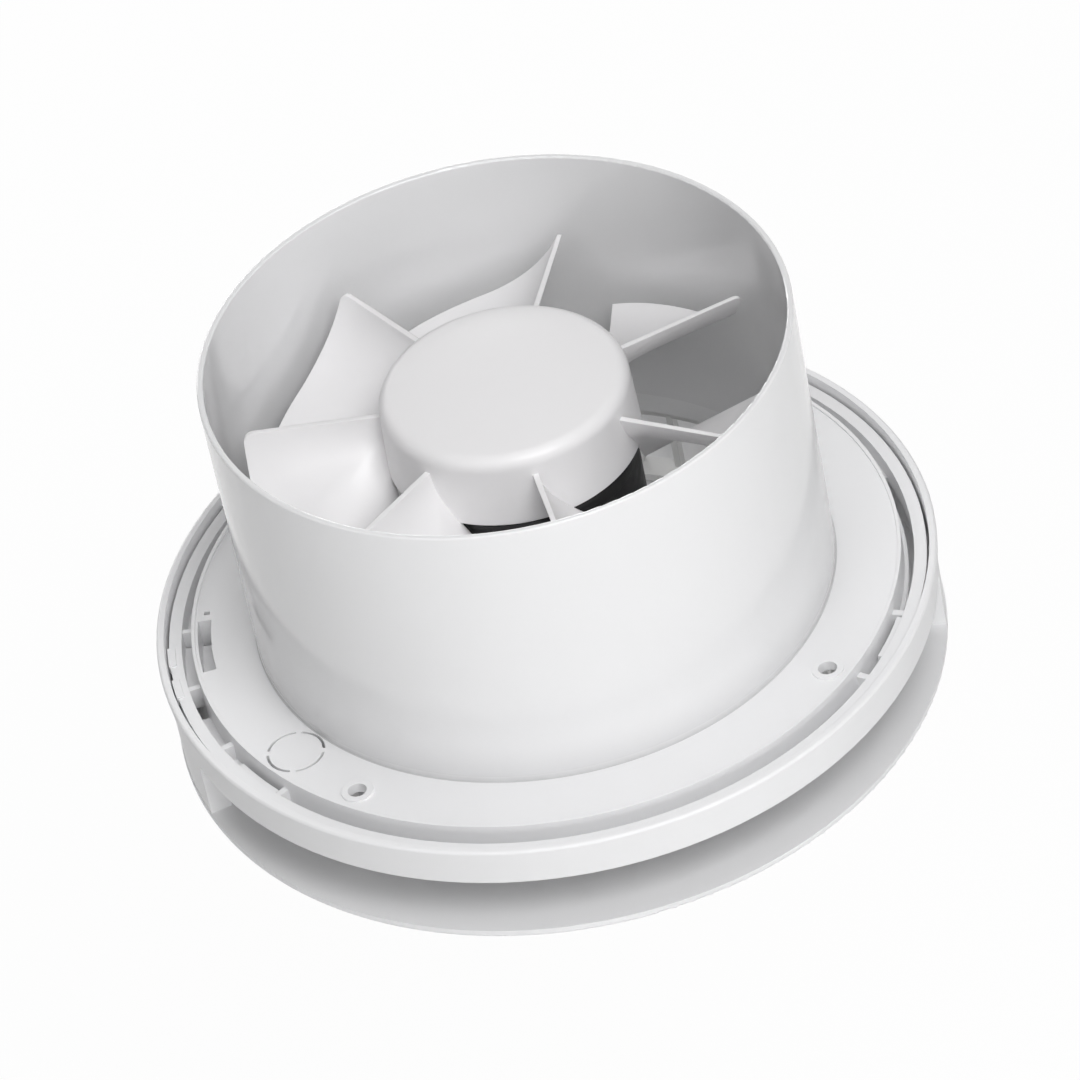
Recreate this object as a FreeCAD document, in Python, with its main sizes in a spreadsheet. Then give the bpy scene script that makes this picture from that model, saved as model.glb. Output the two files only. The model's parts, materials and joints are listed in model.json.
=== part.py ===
import FreeCAD, Part
import math
import os
from types import SimpleNamespace

import Sketcher
from FreeCAD import Placement, Rotation, Vector

# Axial exhaust fan for a bathroom wall, in millimetres.
# The origin is on the duct's axis in the plane of the wall; +Z runs into the wall along the duct.
DRIVING = {
    # duct spigot
    "duct_radius": 74.0,
    "duct_wall": 1.6,
    "duct_reach": 78.2,
    "duct_drop": 4.7,
    "duct_rim_round": 0.5,
    # wall plate and the ring round it
    "plate_width": 16.5,
    "plate_thick": 2.2,
    "plate_sink": 0.6,
    "lip_width": 0.9,
    "moat_width": 3.0,
    "moat_depth": 8.0,
    "moat_wall": 1.6,
    "moat_floor": 1.6,
    "ring_width": 3.2,
    "ring_sink": 2.7,
    # wall screws
    "wall_screw_inset": 6.1,
    "wall_screw_hole": 2.35,
    "wall_screw_collar": 4.0,
    "wall_screw_count": 4,
    "wall_screw_azimuth": 45,
    # cable entries
    "knockout_inset": 8.7,
    "knockout_azimuth": -151.2,
    "knockout_radius": 7.4,
    "knockout_slit": 0.7,
    "knockout_angle": 78,
    "window_width": 3.4,
    "window_azimuth": 174.3,
    "window_angle": 13,
    "tub_wall": 1.2,
    "tub_slit_angle": 0.8,
    "window_rib_angle": 0.9,
    "window_rib_sink": 0.8,
    "moat_hole_angle": 4.2,
    "notch_inset": 4.5,
    "notch_width": 1.5,
    "notch_angle": 0.9,
    "key_azimuth": 174.3,
    "key_angle": 4.2,
    "key_spacing_angle": 7.4,
    "key_reach": 0.4,
    "key_rise": 0.5,
    "key_height": 2.4,
    "moat_slot_azimuth": -7.5,
    "moat_slot_angle": 33,
    "moat_slot_width": 2.0,
    # cover clips
    "clip_count": 3,
    "clip_azimuth": -35,
    "clip_angle": 7,
    "clip_side_angle": 1,
    "clip_height": 2.2,
    "clip_sink": 6.5,
    "clip_reach": 2.3,
    "clip_slot_lip": 0.7,
    "clip_rib_azimuth": 7.5,
    "clip_rib_angle": 1.1,
    "clip_rib_sink": 2.0,
    # front cover
    "cover_gap": 0.9,
    "cover_wall": 2.0,
    "cover_sink": 0.2,
    "cover_draft": 1.0,
    "cover_rim_round": 0.8,
    "skirt_depth": 11.0,
    "skirt_foot": 1.6,
    "intake_height": 16.0,
    "bridge_angle": 28,
    "bridge_depth": 5.7,
    "bridge_wall": 1.8,
    "bridge_end_angle": 1.1,
    "disc_inset": 0.7,
    "disc_edge": 1.0,
    "disc_edge_round": 1.6,
    "disc_crown": 0.6,
    "disc_dish": 1.0,
    "disc_slope_width": 18.9,
    # impeller
    "hub_radius": 32.0,
    "hub_draft": 0.6,
    "hub_lift": 1.5,
    "hub_height": 15.8,
    "hub_edge_round": 3.0,
    "hub_crown": 0.7,
    "hub_wall": 1.8,
    "boss_radius": 6.5,
    "boss_rise": 2.0,
    "hub_rib_count": 7,
    "hub_rib_wall": 1.4,
    "hub_rib_rise": 4.5,
    "blade_count": 7,
    "blade_azimuth": 35.05,
    "blade_sink": 1.8,
    "tip_gap": 6.4,
    "blade_tip_spare": 2.0,
    "blade_root_bury": 6.0,
    "blade_root_thick": 1.6,
    "blade_tip_thick": 1.2,
    "root_top_side": -9.6,
    "root_knee_side": -9.3,
    "root_knee_fall": 6.6,
    "root_foot_side": -7.4,
    "root_foot_fall": 12.0,
    "root_bend": 60.0,
    "tip_top_side": -25.1,
    "tip_knee_side": 0.5,
    "tip_knee_fall": 19.2,
    "tip_foot_side": 28.1,
    "tip_foot_fall": 24.0,
    "tip_bend": 35.2,
    # shaft, bush and clip
    "shaft_radius": 2.5,
    "shaft_lift": 1.8,
    "shaft_short": 0.5,
    "shaft_chamfer": 0.3,
    "bush_radius": 4.0,
    "bush_length": 12.0,
    "bush_groove": 0.4,
    "clip_wire": 1.2,
    "clip_length": 2.5,
    "clip_ring_angle": 320,
    # motor
    "motor_radius": 30.0,
    "motor_wall": 2.0,
    "motor_bottom": 9.5,
    "motor_taper": 4.5,
    "motor_floor": 2.5,
    "motor_length": 34.5,
    "motor_cap": 4.5,
    "motor_roof": 2.5,
    "motor_round": 2.0,
    "core_lift": 9.5,
    "core_drop": 11.0,
    "core_depth": 10.0,
    "core_ledge": 2.0,
    "core_slot_count": 12,
    "core_slot_width": 3.2,
    "core_slot_mouth": 1.2,
    "core_tooth_tip": 1.6,
    "core_slot_depth": 5.6,
    "air_gap": 0.5,
    "winding_height": 5.0,
    "winding_round": 1.5,
    "rotor_boss_radius": 6.0,
    "end_ring_sink": 0.5,
    "washer_radius": 5.0,
    "washer_thick": 0.7,
    "bearing_radius": 8.0,
    "bearing_width": 5.0,
    "bearing_seat_wall": 2.5,
    "bearing_shield_sink": 0.3,
    "bearing_race": 1.4,
    "shaft_hole": 3.2,
    # motor bolts
    "bolt_inset": 4.4,
    "bolt_count": 3,
    "bolt_radius": 1.5,
    "bolt_head_radius": 2.7,
    "bolt_head_height": 2.0,
    "bolt_head_sink": 1.2,
    "bolt_overrun": 1.2,
    "nut_flats": 5.5,
    "nut_height": 2.4,
    "grommet_radius": 4.5,
    "grommet_neck": 2.6,
    "grommet_thick": 3.0,
    # motor cage
    "cage_flange": 2.5,
    "cage_flange_hole": 12.0,
    "cage_shoulder": 1.5,
    "cage_cone_flare": 6.5,
    "cage_wall": 1.9,
    "cage_lift": 0.5,
    "cage_gap": 0.4,
    "cage_rib_depth": 2.6,
    "cage_rib_width": 1.8,
    "cage_rib_count": 44,
    "cage_rib_root": 0.5,
    "cage_ring_depth": 3.0,
    "cage_ring_thick": 2.5,
    "cage_floor_width": 7.0,
    "cage_floor_thick": 2.0,
    "arm_count": 4,
    "arm_width": 11.0,
    "arm_thick": 3.0,
    "ear_count": 4,
    "ear_azimuth": 20,
    "ear_inset": 5.9,
    "ear_width": 8.0,
    "lead_notch_angle": 18,
    "lead_notch_height": 6.5,
    # small screws: shank, head, head height
    "screw_radius": 1.3,
    "screw_head": 2.8,
    "screw_head_height": 1.8,
    "screw_bite": 3.0,
    "screw_boss": 3.2,
    "clamp_screw_radius": 1.1,
    "clamp_screw_head": 2.1,
    "clamp_screw_head_height": 1.4,
    "clamp_screw_bite": 4.5,
    # terminal compartment on the -X side
    "tray_inset": 0.5,
    "tray_gap": 0.9,
    "tray_half_width": 19.5,
    "tray_wall": 1.3,
    "tray_floor": 1.5,
    "tray_lift": 4.0,
    "tray_shoulder_inset": 2.7,
    "tray_screw_inset": 2.9,
    "tray_screw_bite": 9.0,
    "tray_boss": 2.6,
    "tray_notch_width": 13.0,
    "tray_notch_height": 4.6,
    "block_inset": 2.5,
    "block_side": -4.0,
    "block_width": 13.0,
    "block_bottom": 14.0,
    "block_well_radius": 1.8,
    "block_well_depth": 6.0,
    "block_well_inset": 2.1,
    "block_pitch": 6.4,
    "block_screw_height": 3.0,
    "clamp_first_side": 5.2,
    "clamp_pitch": 9.4,
    "clamp_boss": 2.2,
    "clamp_width": 5.0,
    "clamp_end": 2.3,
    "clamp_thick": 2.2,
    "clamp_drop": 0.4,
    # leads
    "lead_radius": 1.0,
    "lead_gap": 2.5,
    "lead_entry": 9.0,
    "lead_lane": 1.2,
    # clearances
    "press_gap": 0.02,
    "running_gap": 0.04,
    "slip_gap": 0.1,
    "seat_gap": 0.3,
    "cut_over": 1.0,
}

doc = FreeCAD.newDocument("exhaust_fan")
sheet = doc.addObject("Spreadsheet::Sheet", "sizes")


class Size:
    # a number together with the sheet expression that gives it

    def __init__(self, value, text):
        self.value = value
        self.text = text

    def joined(self, other, sign, value):
        return Size(value, "(%s %s %s)" % (self.text, sign, other.text))

    def __add__(self, other):
        other = as_size(other)
        return self.joined(other, "+", self.value + other.value)

    def __radd__(self, other):
        return as_size(other) + self

    def __sub__(self, other):
        other = as_size(other)
        return self.joined(other, "-", self.value - other.value)

    def __rsub__(self, other):
        return as_size(other) - self

    def __mul__(self, other):
        other = as_size(other)
        return self.joined(other, "*", self.value * other.value)

    def __rmul__(self, other):
        return as_size(other) * self

    def __truediv__(self, other):
        other = as_size(other)
        return self.joined(other, "/", self.value / other.value)

    def __rtruediv__(self, other):
        return as_size(other) / self

    def __neg__(self):
        return as_size(0) - self


def as_size(number):
    return number if isinstance(number, Size) else Size(float(number), repr(number))


def cosine(angle):
    angle = as_size(angle)
    return Size(math.cos(math.radians(angle.value)), "cos(%s)" % angle.text)


def sine(angle):
    angle = as_size(angle)
    return Size(math.sin(math.radians(angle.value)), "sin(%s)" % angle.text)


def fill_sheet():
    for row, (name, value) in enumerate(DRIVING.items(), start=1):
        sheet.set("A%d" % row, name)
        sheet.set("B%d" % row, str(value))
        sheet.setAlias("B%d" % row, name)
    doc.recompute()
    return SimpleNamespace(**{name: Size(float(value), "sizes." + name) for name, value in DRIVING.items()})


d = fill_sheet()
parts = []


def bind(thing, name, size):
    size = as_size(size)
    thing.setExpression(name, size.text)


def new_body(label):
    body = doc.addObject("PartDesign::Body", label)
    parts.append(body)
    return body


def origin_feature(body, role):
    return next(item for item in body.Origin.OriginFeatures if item.Role == role)


def new_sketch(body, name, plane, shift, turn_axis, turn):
    sketch = body.newObject("Sketcher::SketchObject", name)
    sketch.AttachmentSupport = [(origin_feature(body, plane), "")]
    sketch.MapMode = "FlatFace"
    sketch.AttachmentOffset = Placement(Vector(), Rotation(turn_axis, 0))
    for axis, size in zip("xyz", shift):
        bind(sketch, ".AttachmentOffset.Base." + axis, size)
    bind(sketch, ".AttachmentOffset.Rotation.Angle", turn)
    return sketch


def pin_point(sketch, geometry, end, point):
    for kind, axis, size in zip(("DistanceX", "DistanceY"), (-2, -1), point):
        size = as_size(size)
        if size.text == "0":
            sketch.addConstraint(Sketcher.Constraint("PointOnObject", geometry, end, axis))
        else:
            index = sketch.addConstraint(Sketcher.Constraint(kind, -1, 1, geometry, end, size.value))
            bind(sketch, "Constraints[%d]" % index, size)


def draw_outline(sketch, corners):
    # A corner is (x, y), or (x, y, radius) where the side to the next corner is an arc:
    # a positive radius turns left along the outline, a negative one turns right.
    first = sketch.GeometryCount
    starts = []
    ends = []
    for near, far in zip(corners, corners[1:] + corners[:1]):
        a = Vector(as_size(near[0]).value, as_size(near[1]).value, 0)
        b = Vector(as_size(far[0]).value, as_size(far[1]).value, 0)
        if len(near) == 2:
            geometry = sketch.addGeometry(Part.LineSegment(a, b))
            starts.append(1)
            ends.append(2)
            continue
        radius = as_size(near[2])
        left = radius.value > 0
        half = (b - a).Length / 2
        rise = math.sqrt(max(radius.value ** 2 - half ** 2, 0))
        side = Vector(a.y - b.y, b.x - a.x, 0).normalize()
        centre = (a + b) / 2 + side * (rise if left else -rise)
        begin, finish = (a, b) if left else (b, a)
        angles = [math.atan2(point.y - centre.y, point.x - centre.x) for point in (begin, finish)]
        circle = Part.Circle(centre, Vector(0, 0, 1), abs(radius.value))
        geometry = sketch.addGeometry(Part.ArcOfCircle(circle, *angles))
        starts.append(1 if left else 2)
        ends.append(2 if left else 1)
        index = sketch.addConstraint(Sketcher.Constraint("Radius", geometry, abs(radius.value)))
        bind(sketch, "Constraints[%d]" % index, radius if left else -radius)
    count = len(corners)
    for k in range(count):
        following = (k + 1) % count
        sketch.addConstraint(
            Sketcher.Constraint("Coincident", first + k, ends[k], first + following, starts[following])
        )
    for k, corner in enumerate(corners):
        pin_point(sketch, first + k, starts[k], corner[:2])


def draw_circle(sketch, centre, radius):
    middle = Vector(as_size(centre[0]).value, as_size(centre[1]).value, 0)
    geometry = sketch.addGeometry(Part.Circle(middle, Vector(0, 0, 1), radius.value))
    index = sketch.addConstraint(Sketcher.Constraint("Radius", geometry, radius.value))
    bind(sketch, "Constraints[%d]" % index, radius)
    pin_point(sketch, geometry, 3, centre)


def turned(body, name, corners, sweep=None, facing=0, off=0, off_azimuth=0, cut=False):
    # Turns an outline of (radius, height) corners about an upright axis. The axis stands off the
    # origin by off, towards off_azimuth; a part turn of sweep is centred on the direction facing.
    shift = (off * cosine(off_azimuth), 0, -(off * sine(off_azimuth)))
    sketch = new_sketch(body, name + "_profile", "XZ_Plane", shift, Vector(0, 1, 0), facing)
    draw_outline(sketch, corners)
    feature = body.newObject("PartDesign::Groove" if cut else "PartDesign::Revolution", name)
    feature.Profile = sketch
    feature.ReferenceAxis = (sketch, ["V_Axis"])
    if sweep is None:
        feature.Angle = 360
    else:
        feature.Midplane = True
        bind(feature, "Angle", sweep)
    return feature


def block(inner, outer, low, high):
    return [(inner, low), (outer, low), (outer, high), (inner, high)]


def padded(body, name, corners, low, high, facing=0, circles=(), cut=False):
    # Raises an outline seen from above from the height low to the height high.
    shift = (0, 0, high if cut else low)
    sketch = new_sketch(body, name + "_profile", "XY_Plane", shift, Vector(0, 0, 1), facing)
    if corners:
        draw_outline(sketch, corners)
    for centre, radius in circles:
        draw_circle(sketch, centre, radius)
    feature = body.newObject("PartDesign::Pocket" if cut else "PartDesign::Pad", name)
    feature.Profile = sketch
    bind(feature, "Length", high - low)
    return feature


def ringed(body, name, features, count):
    pattern = body.newObject("PartDesign::PolarPattern", name)
    pattern.Originals = features
    pattern.Axis = (origin_feature(body, "Z_Axis"), [""])
    pattern.Angle = 360
    bind(pattern, "Occurrences", count)
    body.Tip = pattern
    return pattern


# Radii from the duct outwards, and levels from the wall plane down and up
bore_radius = d.duct_radius - d.duct_wall
plate_radius = d.duct_radius + d.plate_width
moat_inner = plate_radius - d.moat_wall
ring_inner = plate_radius + d.moat_width
ring_outer = ring_inner + d.ring_width
screw_circle = plate_radius - d.wall_screw_inset
knockout_circle = plate_radius - d.knockout_inset
window_inner = moat_inner - d.window_width
cover_inner = ring_outer + d.cover_gap
cover_radius = cover_inner + d.cover_wall
disc_radius = cover_radius - d.disc_inset
plate_rear = -d.plate_sink
plate_front = plate_rear - d.plate_thick
moat_bed = -d.moat_depth
base_front = moat_bed - d.moat_floor
clip_top = -d.clip_sink
clip_inner = cover_inner - d.clip_reach
slot_angle = d.clip_angle + 2 * d.clip_side_angle
skirt_bottom = -d.skirt_depth
disc_rear = skirt_bottom - d.intake_height

# The motor, from its floor up to the fan wheel
motor_inner = d.motor_radius - d.motor_wall
motor_top = d.motor_bottom + d.motor_length
motor_split = motor_top - d.motor_cap
lower_bearing = d.motor_bottom + d.motor_floor
upper_bearing = motor_top - d.motor_roof - d.bearing_width
core_bottom = d.motor_bottom + d.core_lift
core_top = motor_top - d.core_drop
core_bore = motor_inner - d.core_depth
bolt_circle = d.motor_radius - d.bolt_inset
seat_radius = d.bearing_radius + d.press_gap
seat_outer = d.bearing_radius + d.bearing_seat_wall
hub_bottom = motor_top + d.hub_lift
hub_shoulder = hub_bottom + d.hub_height
blade_top = hub_shoulder - d.blade_sink
blade_tip_radius = bore_radius - d.tip_gap
blade_root_plane = d.hub_radius - d.blade_root_bury
boss_bottom = hub_bottom + d.boss_rise
bush_top = boss_bottom + d.bush_length
shaft_bottom = d.motor_bottom + d.shaft_lift
shaft_top = bush_top - d.shaft_short

# The cage that carries the motor
cage_inner = d.duct_radius + d.cage_gap
cage_outer = cage_inner + d.cage_rib_depth
cage_floor_inner = cage_outer - d.cage_floor_width
cage_cone_top = d.motor_radius + d.cage_shoulder
cage_cone_foot = cage_cone_top + d.cage_cone_flare
cage_flange_top = d.motor_bottom - d.grommet_thick
cage_flange_bottom = cage_flange_top - d.cage_flange
cage_foot = disc_rear + d.cage_lift
ear_circle = moat_inner - d.ear_inset
ear_top = plate_front - d.cage_ring_thick
ear_bottom = ear_top - d.cage_ring_thick
floor_top = cage_foot + d.cage_floor_thick
arm_top = cage_foot + d.arm_thick

# The terminal compartment
tray_outer = plate_radius - d.tray_inset
tray_inner = cage_outer + d.tray_gap
tray_shoulder = window_inner - d.tub_wall - d.tray_shoulder_inset
tray_screw_place = moat_inner - d.tray_screw_inset
tray_base = cage_foot + d.tray_lift
tray_bed = tray_base + d.tray_floor
block_outer = moat_inner - d.block_inset
block_inner = tray_inner + d.tray_wall + d.seat_gap
block_well_place = block_outer - d.block_well_inset
block_front = -d.block_bottom
clamp_place = tray_inner + d.tray_wall + d.slip_gap + d.clamp_width / 2
clamp_top = base_front - d.clamp_drop
clamp_bottom = clamp_top - d.clamp_thick
pilot_radius = d.screw_radius + d.press_gap
clamp_pilot_radius = d.clamp_screw_radius + d.press_gap
clamp_sides = [d.clamp_first_side, d.clamp_first_side + d.clamp_pitch]
well_sides = [d.block_side - d.block_width / 2 + d.block_pitch * k for k in (0.5, -0.5)]


def spot(body, name, x, y, corners, cut=False):
    # Turns an outline about an upright axis through the point x, y.
    sketch = new_sketch(body, name + "_profile", "XZ_Plane", (x, 0, -y), Vector(0, 1, 0), 0)
    draw_outline(sketch, corners)
    feature = body.newObject("PartDesign::Groove" if cut else "PartDesign::Revolution", name)
    feature.Profile = sketch
    feature.ReferenceAxis = (sketch, ["V_Axis"])
    feature.Angle = 360
    return feature


def cable_window(body):
    # A walled tub below the plate for a cable laid along the wall, with break-out slits in its floor,
    # ribs across the moat at its two ends and keys on the ring outside it.
    first = d.window_azimuth - d.window_angle / 2
    last = d.window_azimuth + d.window_angle / 2
    far_rib = last + d.window_rib_angle
    turned(body, "tub", block(window_inner - d.tub_wall, moat_inner, base_front, plate_front),
           d.window_angle + 2 * d.window_rib_angle, d.window_azimuth)
    turned(body, "tub_well", block(window_inner, moat_inner, moat_bed, d.cut_over),
           d.window_angle, d.window_azimuth, cut=True)
    spans = {"tub_slit": (window_inner, moat_inner), "moat_slit": (plate_radius, ring_inner)}
    for name, span in spans.items():
        turned(body, name, block(*span, base_front - d.cut_over, moat_bed + d.cut_over),
               d.tub_slit_angle, first + d.tub_slit_angle / 2, cut=True)
    for name, place in (("near_rib", first), ("far_rib", far_rib)):
        turned(body, name, block(plate_radius - d.moat_wall / 2, ring_inner + d.ring_width / 2,
                                 moat_bed - d.moat_floor / 2, -d.window_rib_sink - d.ring_sink),
               d.window_rib_angle, place)
    turned(body, "moat_hole", block(plate_radius, ring_inner, base_front - d.cut_over, moat_bed + d.cut_over),
           d.moat_hole_angle, far_rib + (d.window_rib_angle + d.moat_hole_angle) / 2, cut=True)
    notch_inner = plate_radius - d.notch_inset
    turned(body, "plate_notch",
           block(notch_inner, notch_inner + d.notch_width, plate_front - d.cut_over, d.cut_over),
           d.notch_angle, first - 2 * d.notch_angle, cut=True)
    key_top = d.key_rise - d.ring_sink
    for k in range(2):
        turned(body, "ring_key_%d" % k, block(ring_inner + d.ring_width / 2, ring_outer + d.key_reach,
                                              key_top - d.key_height, key_top),
               d.key_angle, d.key_azimuth + d.key_spacing_angle * k)


def rear_housing():
    body = new_body("rear_housing")
    rim = d.duct_reach - d.duct_rim_round
    turned(body, "shell", [
        (bore_radius, -d.duct_drop),
        (d.duct_radius, -d.duct_drop),
        (d.duct_radius, plate_front),
        (moat_inner, plate_front),
        (moat_inner, base_front),
        (ring_outer, base_front),
        (ring_outer, -d.ring_sink),
        (ring_inner, -d.ring_sink),
        (ring_inner, moat_bed),
        (plate_radius, moat_bed),
        (plate_radius, 0),
        (plate_radius - d.lip_width, 0),
        (plate_radius - d.lip_width, plate_rear),
        (d.duct_radius, plate_rear),
        (d.duct_radius, rim, d.duct_rim_round),
        (d.duct_radius - d.duct_rim_round, d.duct_reach),
        (bore_radius + d.duct_rim_round, d.duct_reach, d.duct_rim_round),
        (bore_radius, rim),
    ])
    collar = turned(body, "screw_collar", block(0, d.wall_screw_collar, plate_front, 0),
                    off=screw_circle, off_azimuth=d.wall_screw_azimuth)
    hole = turned(body, "screw_hole", block(0, d.wall_screw_hole, plate_front - d.cut_over, d.cut_over),
                  off=screw_circle, off_azimuth=d.wall_screw_azimuth, cut=True)
    ringed(body, "screw_holes", [collar, hole], d.wall_screw_count)
    post = turned(body, "cage_boss", block(0, d.screw_boss, ear_top, plate_front),
                  off=ear_circle, off_azimuth=d.ear_azimuth)
    pilot = turned(body, "cage_pilot", block(0, pilot_radius, ear_top - d.cut_over, ear_top + d.screw_bite),
                   off=ear_circle, off_azimuth=d.ear_azimuth, cut=True)
    ringed(body, "cage_bosses", [post, pilot], d.ear_count)
    spot(body, "tray_boss", -tray_screw_place, 0, block(0, d.tray_boss, tray_bed, plate_front))
    spot(body, "tray_pilot", -tray_screw_place, 0,
         block(0, pilot_radius, tray_bed - d.cut_over, tray_bed + d.tray_screw_bite), cut=True)
    for k, side in enumerate(clamp_sides):
        spot(body, "clamp_boss_%d" % k, -clamp_place, side, block(0, d.clamp_boss, clamp_top, plate_front))
        spot(body, "clamp_pilot_%d" % k, -clamp_place, side,
             block(0, clamp_pilot_radius, clamp_top - d.cut_over, clamp_top + d.clamp_screw_bite), cut=True)
    cable_window(body)
    turned(body, "moat_slot",
           block(ring_inner - d.moat_slot_width, ring_inner, base_front - d.cut_over, moat_bed + d.cut_over),
           d.moat_slot_angle, d.moat_slot_azimuth, cut=True)
    slot = turned(body, "clip_slot",
                  block(ring_inner - d.clip_slot_lip, ring_outer + d.cut_over,
                        base_front - d.cut_over, clip_top + d.seat_gap),
                  slot_angle, d.clip_azimuth, cut=True)
    ribs = [
        turned(body, name, block(plate_radius - d.moat_wall / 2, ring_inner + d.ring_width / 2,
                                 moat_bed, -d.clip_rib_sink - d.ring_sink / 2),
               d.clip_rib_angle, d.clip_azimuth + way * d.clip_rib_azimuth)
        for name, way in (("clip_rib_left", -1), ("clip_rib_right", 1))
    ]
    ringed(body, "clip_bays", [slot] + ribs, d.clip_count)
    for k in range(4):
        turned(body, "knockout_slit_%d" % k,
               block(d.knockout_radius - d.knockout_slit, d.knockout_radius,
                     plate_front - d.cut_over, plate_rear + d.cut_over),
               d.knockout_angle, d.knockout_azimuth + 90 * k, knockout_circle, d.knockout_azimuth, cut=True)


def front_cover():
    body = new_body("front_cover")
    rim = -d.cover_sink
    foot_radius = cover_radius - d.cover_draft
    turned(body, "skirt", [
        (cover_inner, rim),
        (foot_radius - d.skirt_foot, skirt_bottom),
        (foot_radius, skirt_bottom),
        (cover_radius, rim - d.cover_rim_round, d.cover_rim_round),
        (cover_radius - d.cover_rim_round, rim),
    ])
    edge_front = disc_rear - d.disc_edge
    face = edge_front - d.disc_edge_round
    turned(body, "disc", [
        (0, disc_rear - d.disc_dish),
        (0, face - d.disc_crown),
        (disc_radius - d.disc_edge_round, face, d.disc_edge_round),
        (disc_radius, edge_front),
        (disc_radius, disc_rear),
        ((disc_radius - d.disc_slope_width), disc_rear - d.disc_dish),
    ])
    bridge_inner = foot_radius - d.bridge_depth
    skin = turned(body, "bridge_skin", [
        (foot_radius - d.skirt_foot, skirt_bottom),
        (foot_radius - d.bridge_wall, edge_front),
        (foot_radius, edge_front),
        (foot_radius, skirt_bottom),
    ], d.bridge_angle)
    ends = [
        turned(body, name, block(bridge_inner, foot_radius, edge_front, skirt_bottom),
               d.bridge_end_angle, way * (d.bridge_angle - d.bridge_end_angle) / 2)
        for name, way in (("bridge_end_left", -1), ("bridge_end_right", 1))
    ]
    ringed(body, "bridges", [skin] + ends, 2)
    nub = turned(body, "clip", [
        (clip_inner, clip_top),
        (clip_inner, clip_top - d.clip_height / 2),
        (cover_inner, clip_top - d.clip_height),
        (cover_radius - d.cover_draft, clip_top - d.clip_height),
        (cover_radius - d.cover_draft, clip_top),
    ], d.clip_angle, d.clip_azimuth)
    ringed(body, "clips", [nub], d.clip_count)


def blade_section(body, name, plane, thick, sides, falls, bend):
    # A bent strip: an arc from the outlet edge to the knee, then straight to the foot.
    sketch = new_sketch(body, name, "YZ_Plane", (0, 0, plane), Vector(0, 0, 1), 0)
    top, knee, foot = [(side, blade_top - fall) for side, fall in zip(sides, falls)]
    draw_outline(sketch, [
        (top[0] - thick / 2, top[1], bend + thick / 2),
        (knee[0], knee[1] - thick / 2),
        (foot[0], foot[1] - thick / 2),
        (foot[0], foot[1] + thick / 2),
        (knee[0], knee[1] + thick / 2, -(bend - thick / 2)),
        (top[0] + thick / 2, top[1]),
    ])
    return sketch


def impeller():
    body = new_body("impeller")
    shoulder_radius = d.hub_radius - d.hub_draft
    crown_radius = shoulder_radius - d.hub_edge_round
    crown_edge = hub_shoulder + d.hub_edge_round
    turned(body, "hub", [
        (0, hub_bottom),
        (d.hub_radius, hub_bottom),
        (shoulder_radius, hub_shoulder, d.hub_edge_round),
        (crown_radius, crown_edge),
        (0, crown_edge + d.hub_crown),
    ])
    root = blade_section(body, "blade_root", blade_root_plane, d.blade_root_thick,
                         (d.root_top_side, d.root_knee_side, d.root_foot_side),
                         (0, d.root_knee_fall, d.root_foot_fall), d.root_bend)
    tip = blade_section(body, "blade_tip", blade_tip_radius + d.blade_tip_spare, d.blade_tip_thick,
                        (d.tip_top_side, d.tip_knee_side, d.tip_foot_side),
                        (0, d.tip_knee_fall, d.tip_foot_fall), d.tip_bend)
    blade = body.newObject("PartDesign::AdditiveLoft", "blade")
    blade.Profile = root
    blade.Sections = [tip]
    blade.Ruled = True
    ringed(body, "blades", [blade], d.blade_count)
    turned(body, "tip_trim",
           block(blade_tip_radius, d.duct_radius + d.tip_foot_side,
                 blade_top - d.tip_foot_fall - d.hub_wall * 4, blade_top + d.hub_wall), cut=True)
    inner = d.hub_radius - d.hub_wall
    turned(body, "hollow", [
        (d.boss_radius, hub_bottom - d.cut_over),
        (inner, hub_bottom - d.cut_over),
        (inner - d.hub_draft, hub_shoulder, d.hub_edge_round - d.hub_wall / 2),
        (crown_radius - d.hub_wall, crown_edge - d.hub_wall),
        (d.boss_radius, crown_edge - d.hub_wall),
    ], cut=True)
    turned(body, "boss_end", block(0, d.boss_radius, hub_bottom - d.cut_over, boss_bottom), cut=True)
    turned(body, "bush_hole",
           block(0, d.bush_radius + d.press_gap, boss_bottom - d.cut_over, bush_top), cut=True)
    half = d.hub_rib_wall / 2
    rib = padded(body, "hub_rib",
                 block(d.boss_radius - d.hub_wall, shoulder_radius - d.hub_wall / 2, -half, half),
                 hub_bottom + d.hub_rib_rise, crown_edge - 2 * d.hub_wall)
    ringed(body, "hub_ribs", [rib], d.hub_rib_count)
    body.Placement = Placement(Vector(), Rotation(Vector(0, 0, 1), 0))
    bind(body, "Placement.Rotation.Angle", d.blade_azimuth)


def turned_piece(label, *outlines):
    body = new_body(label)
    for k, corners in enumerate(outlines):
        turned(body, "%s_turn_%d" % (label, k), corners)
    return body


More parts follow.
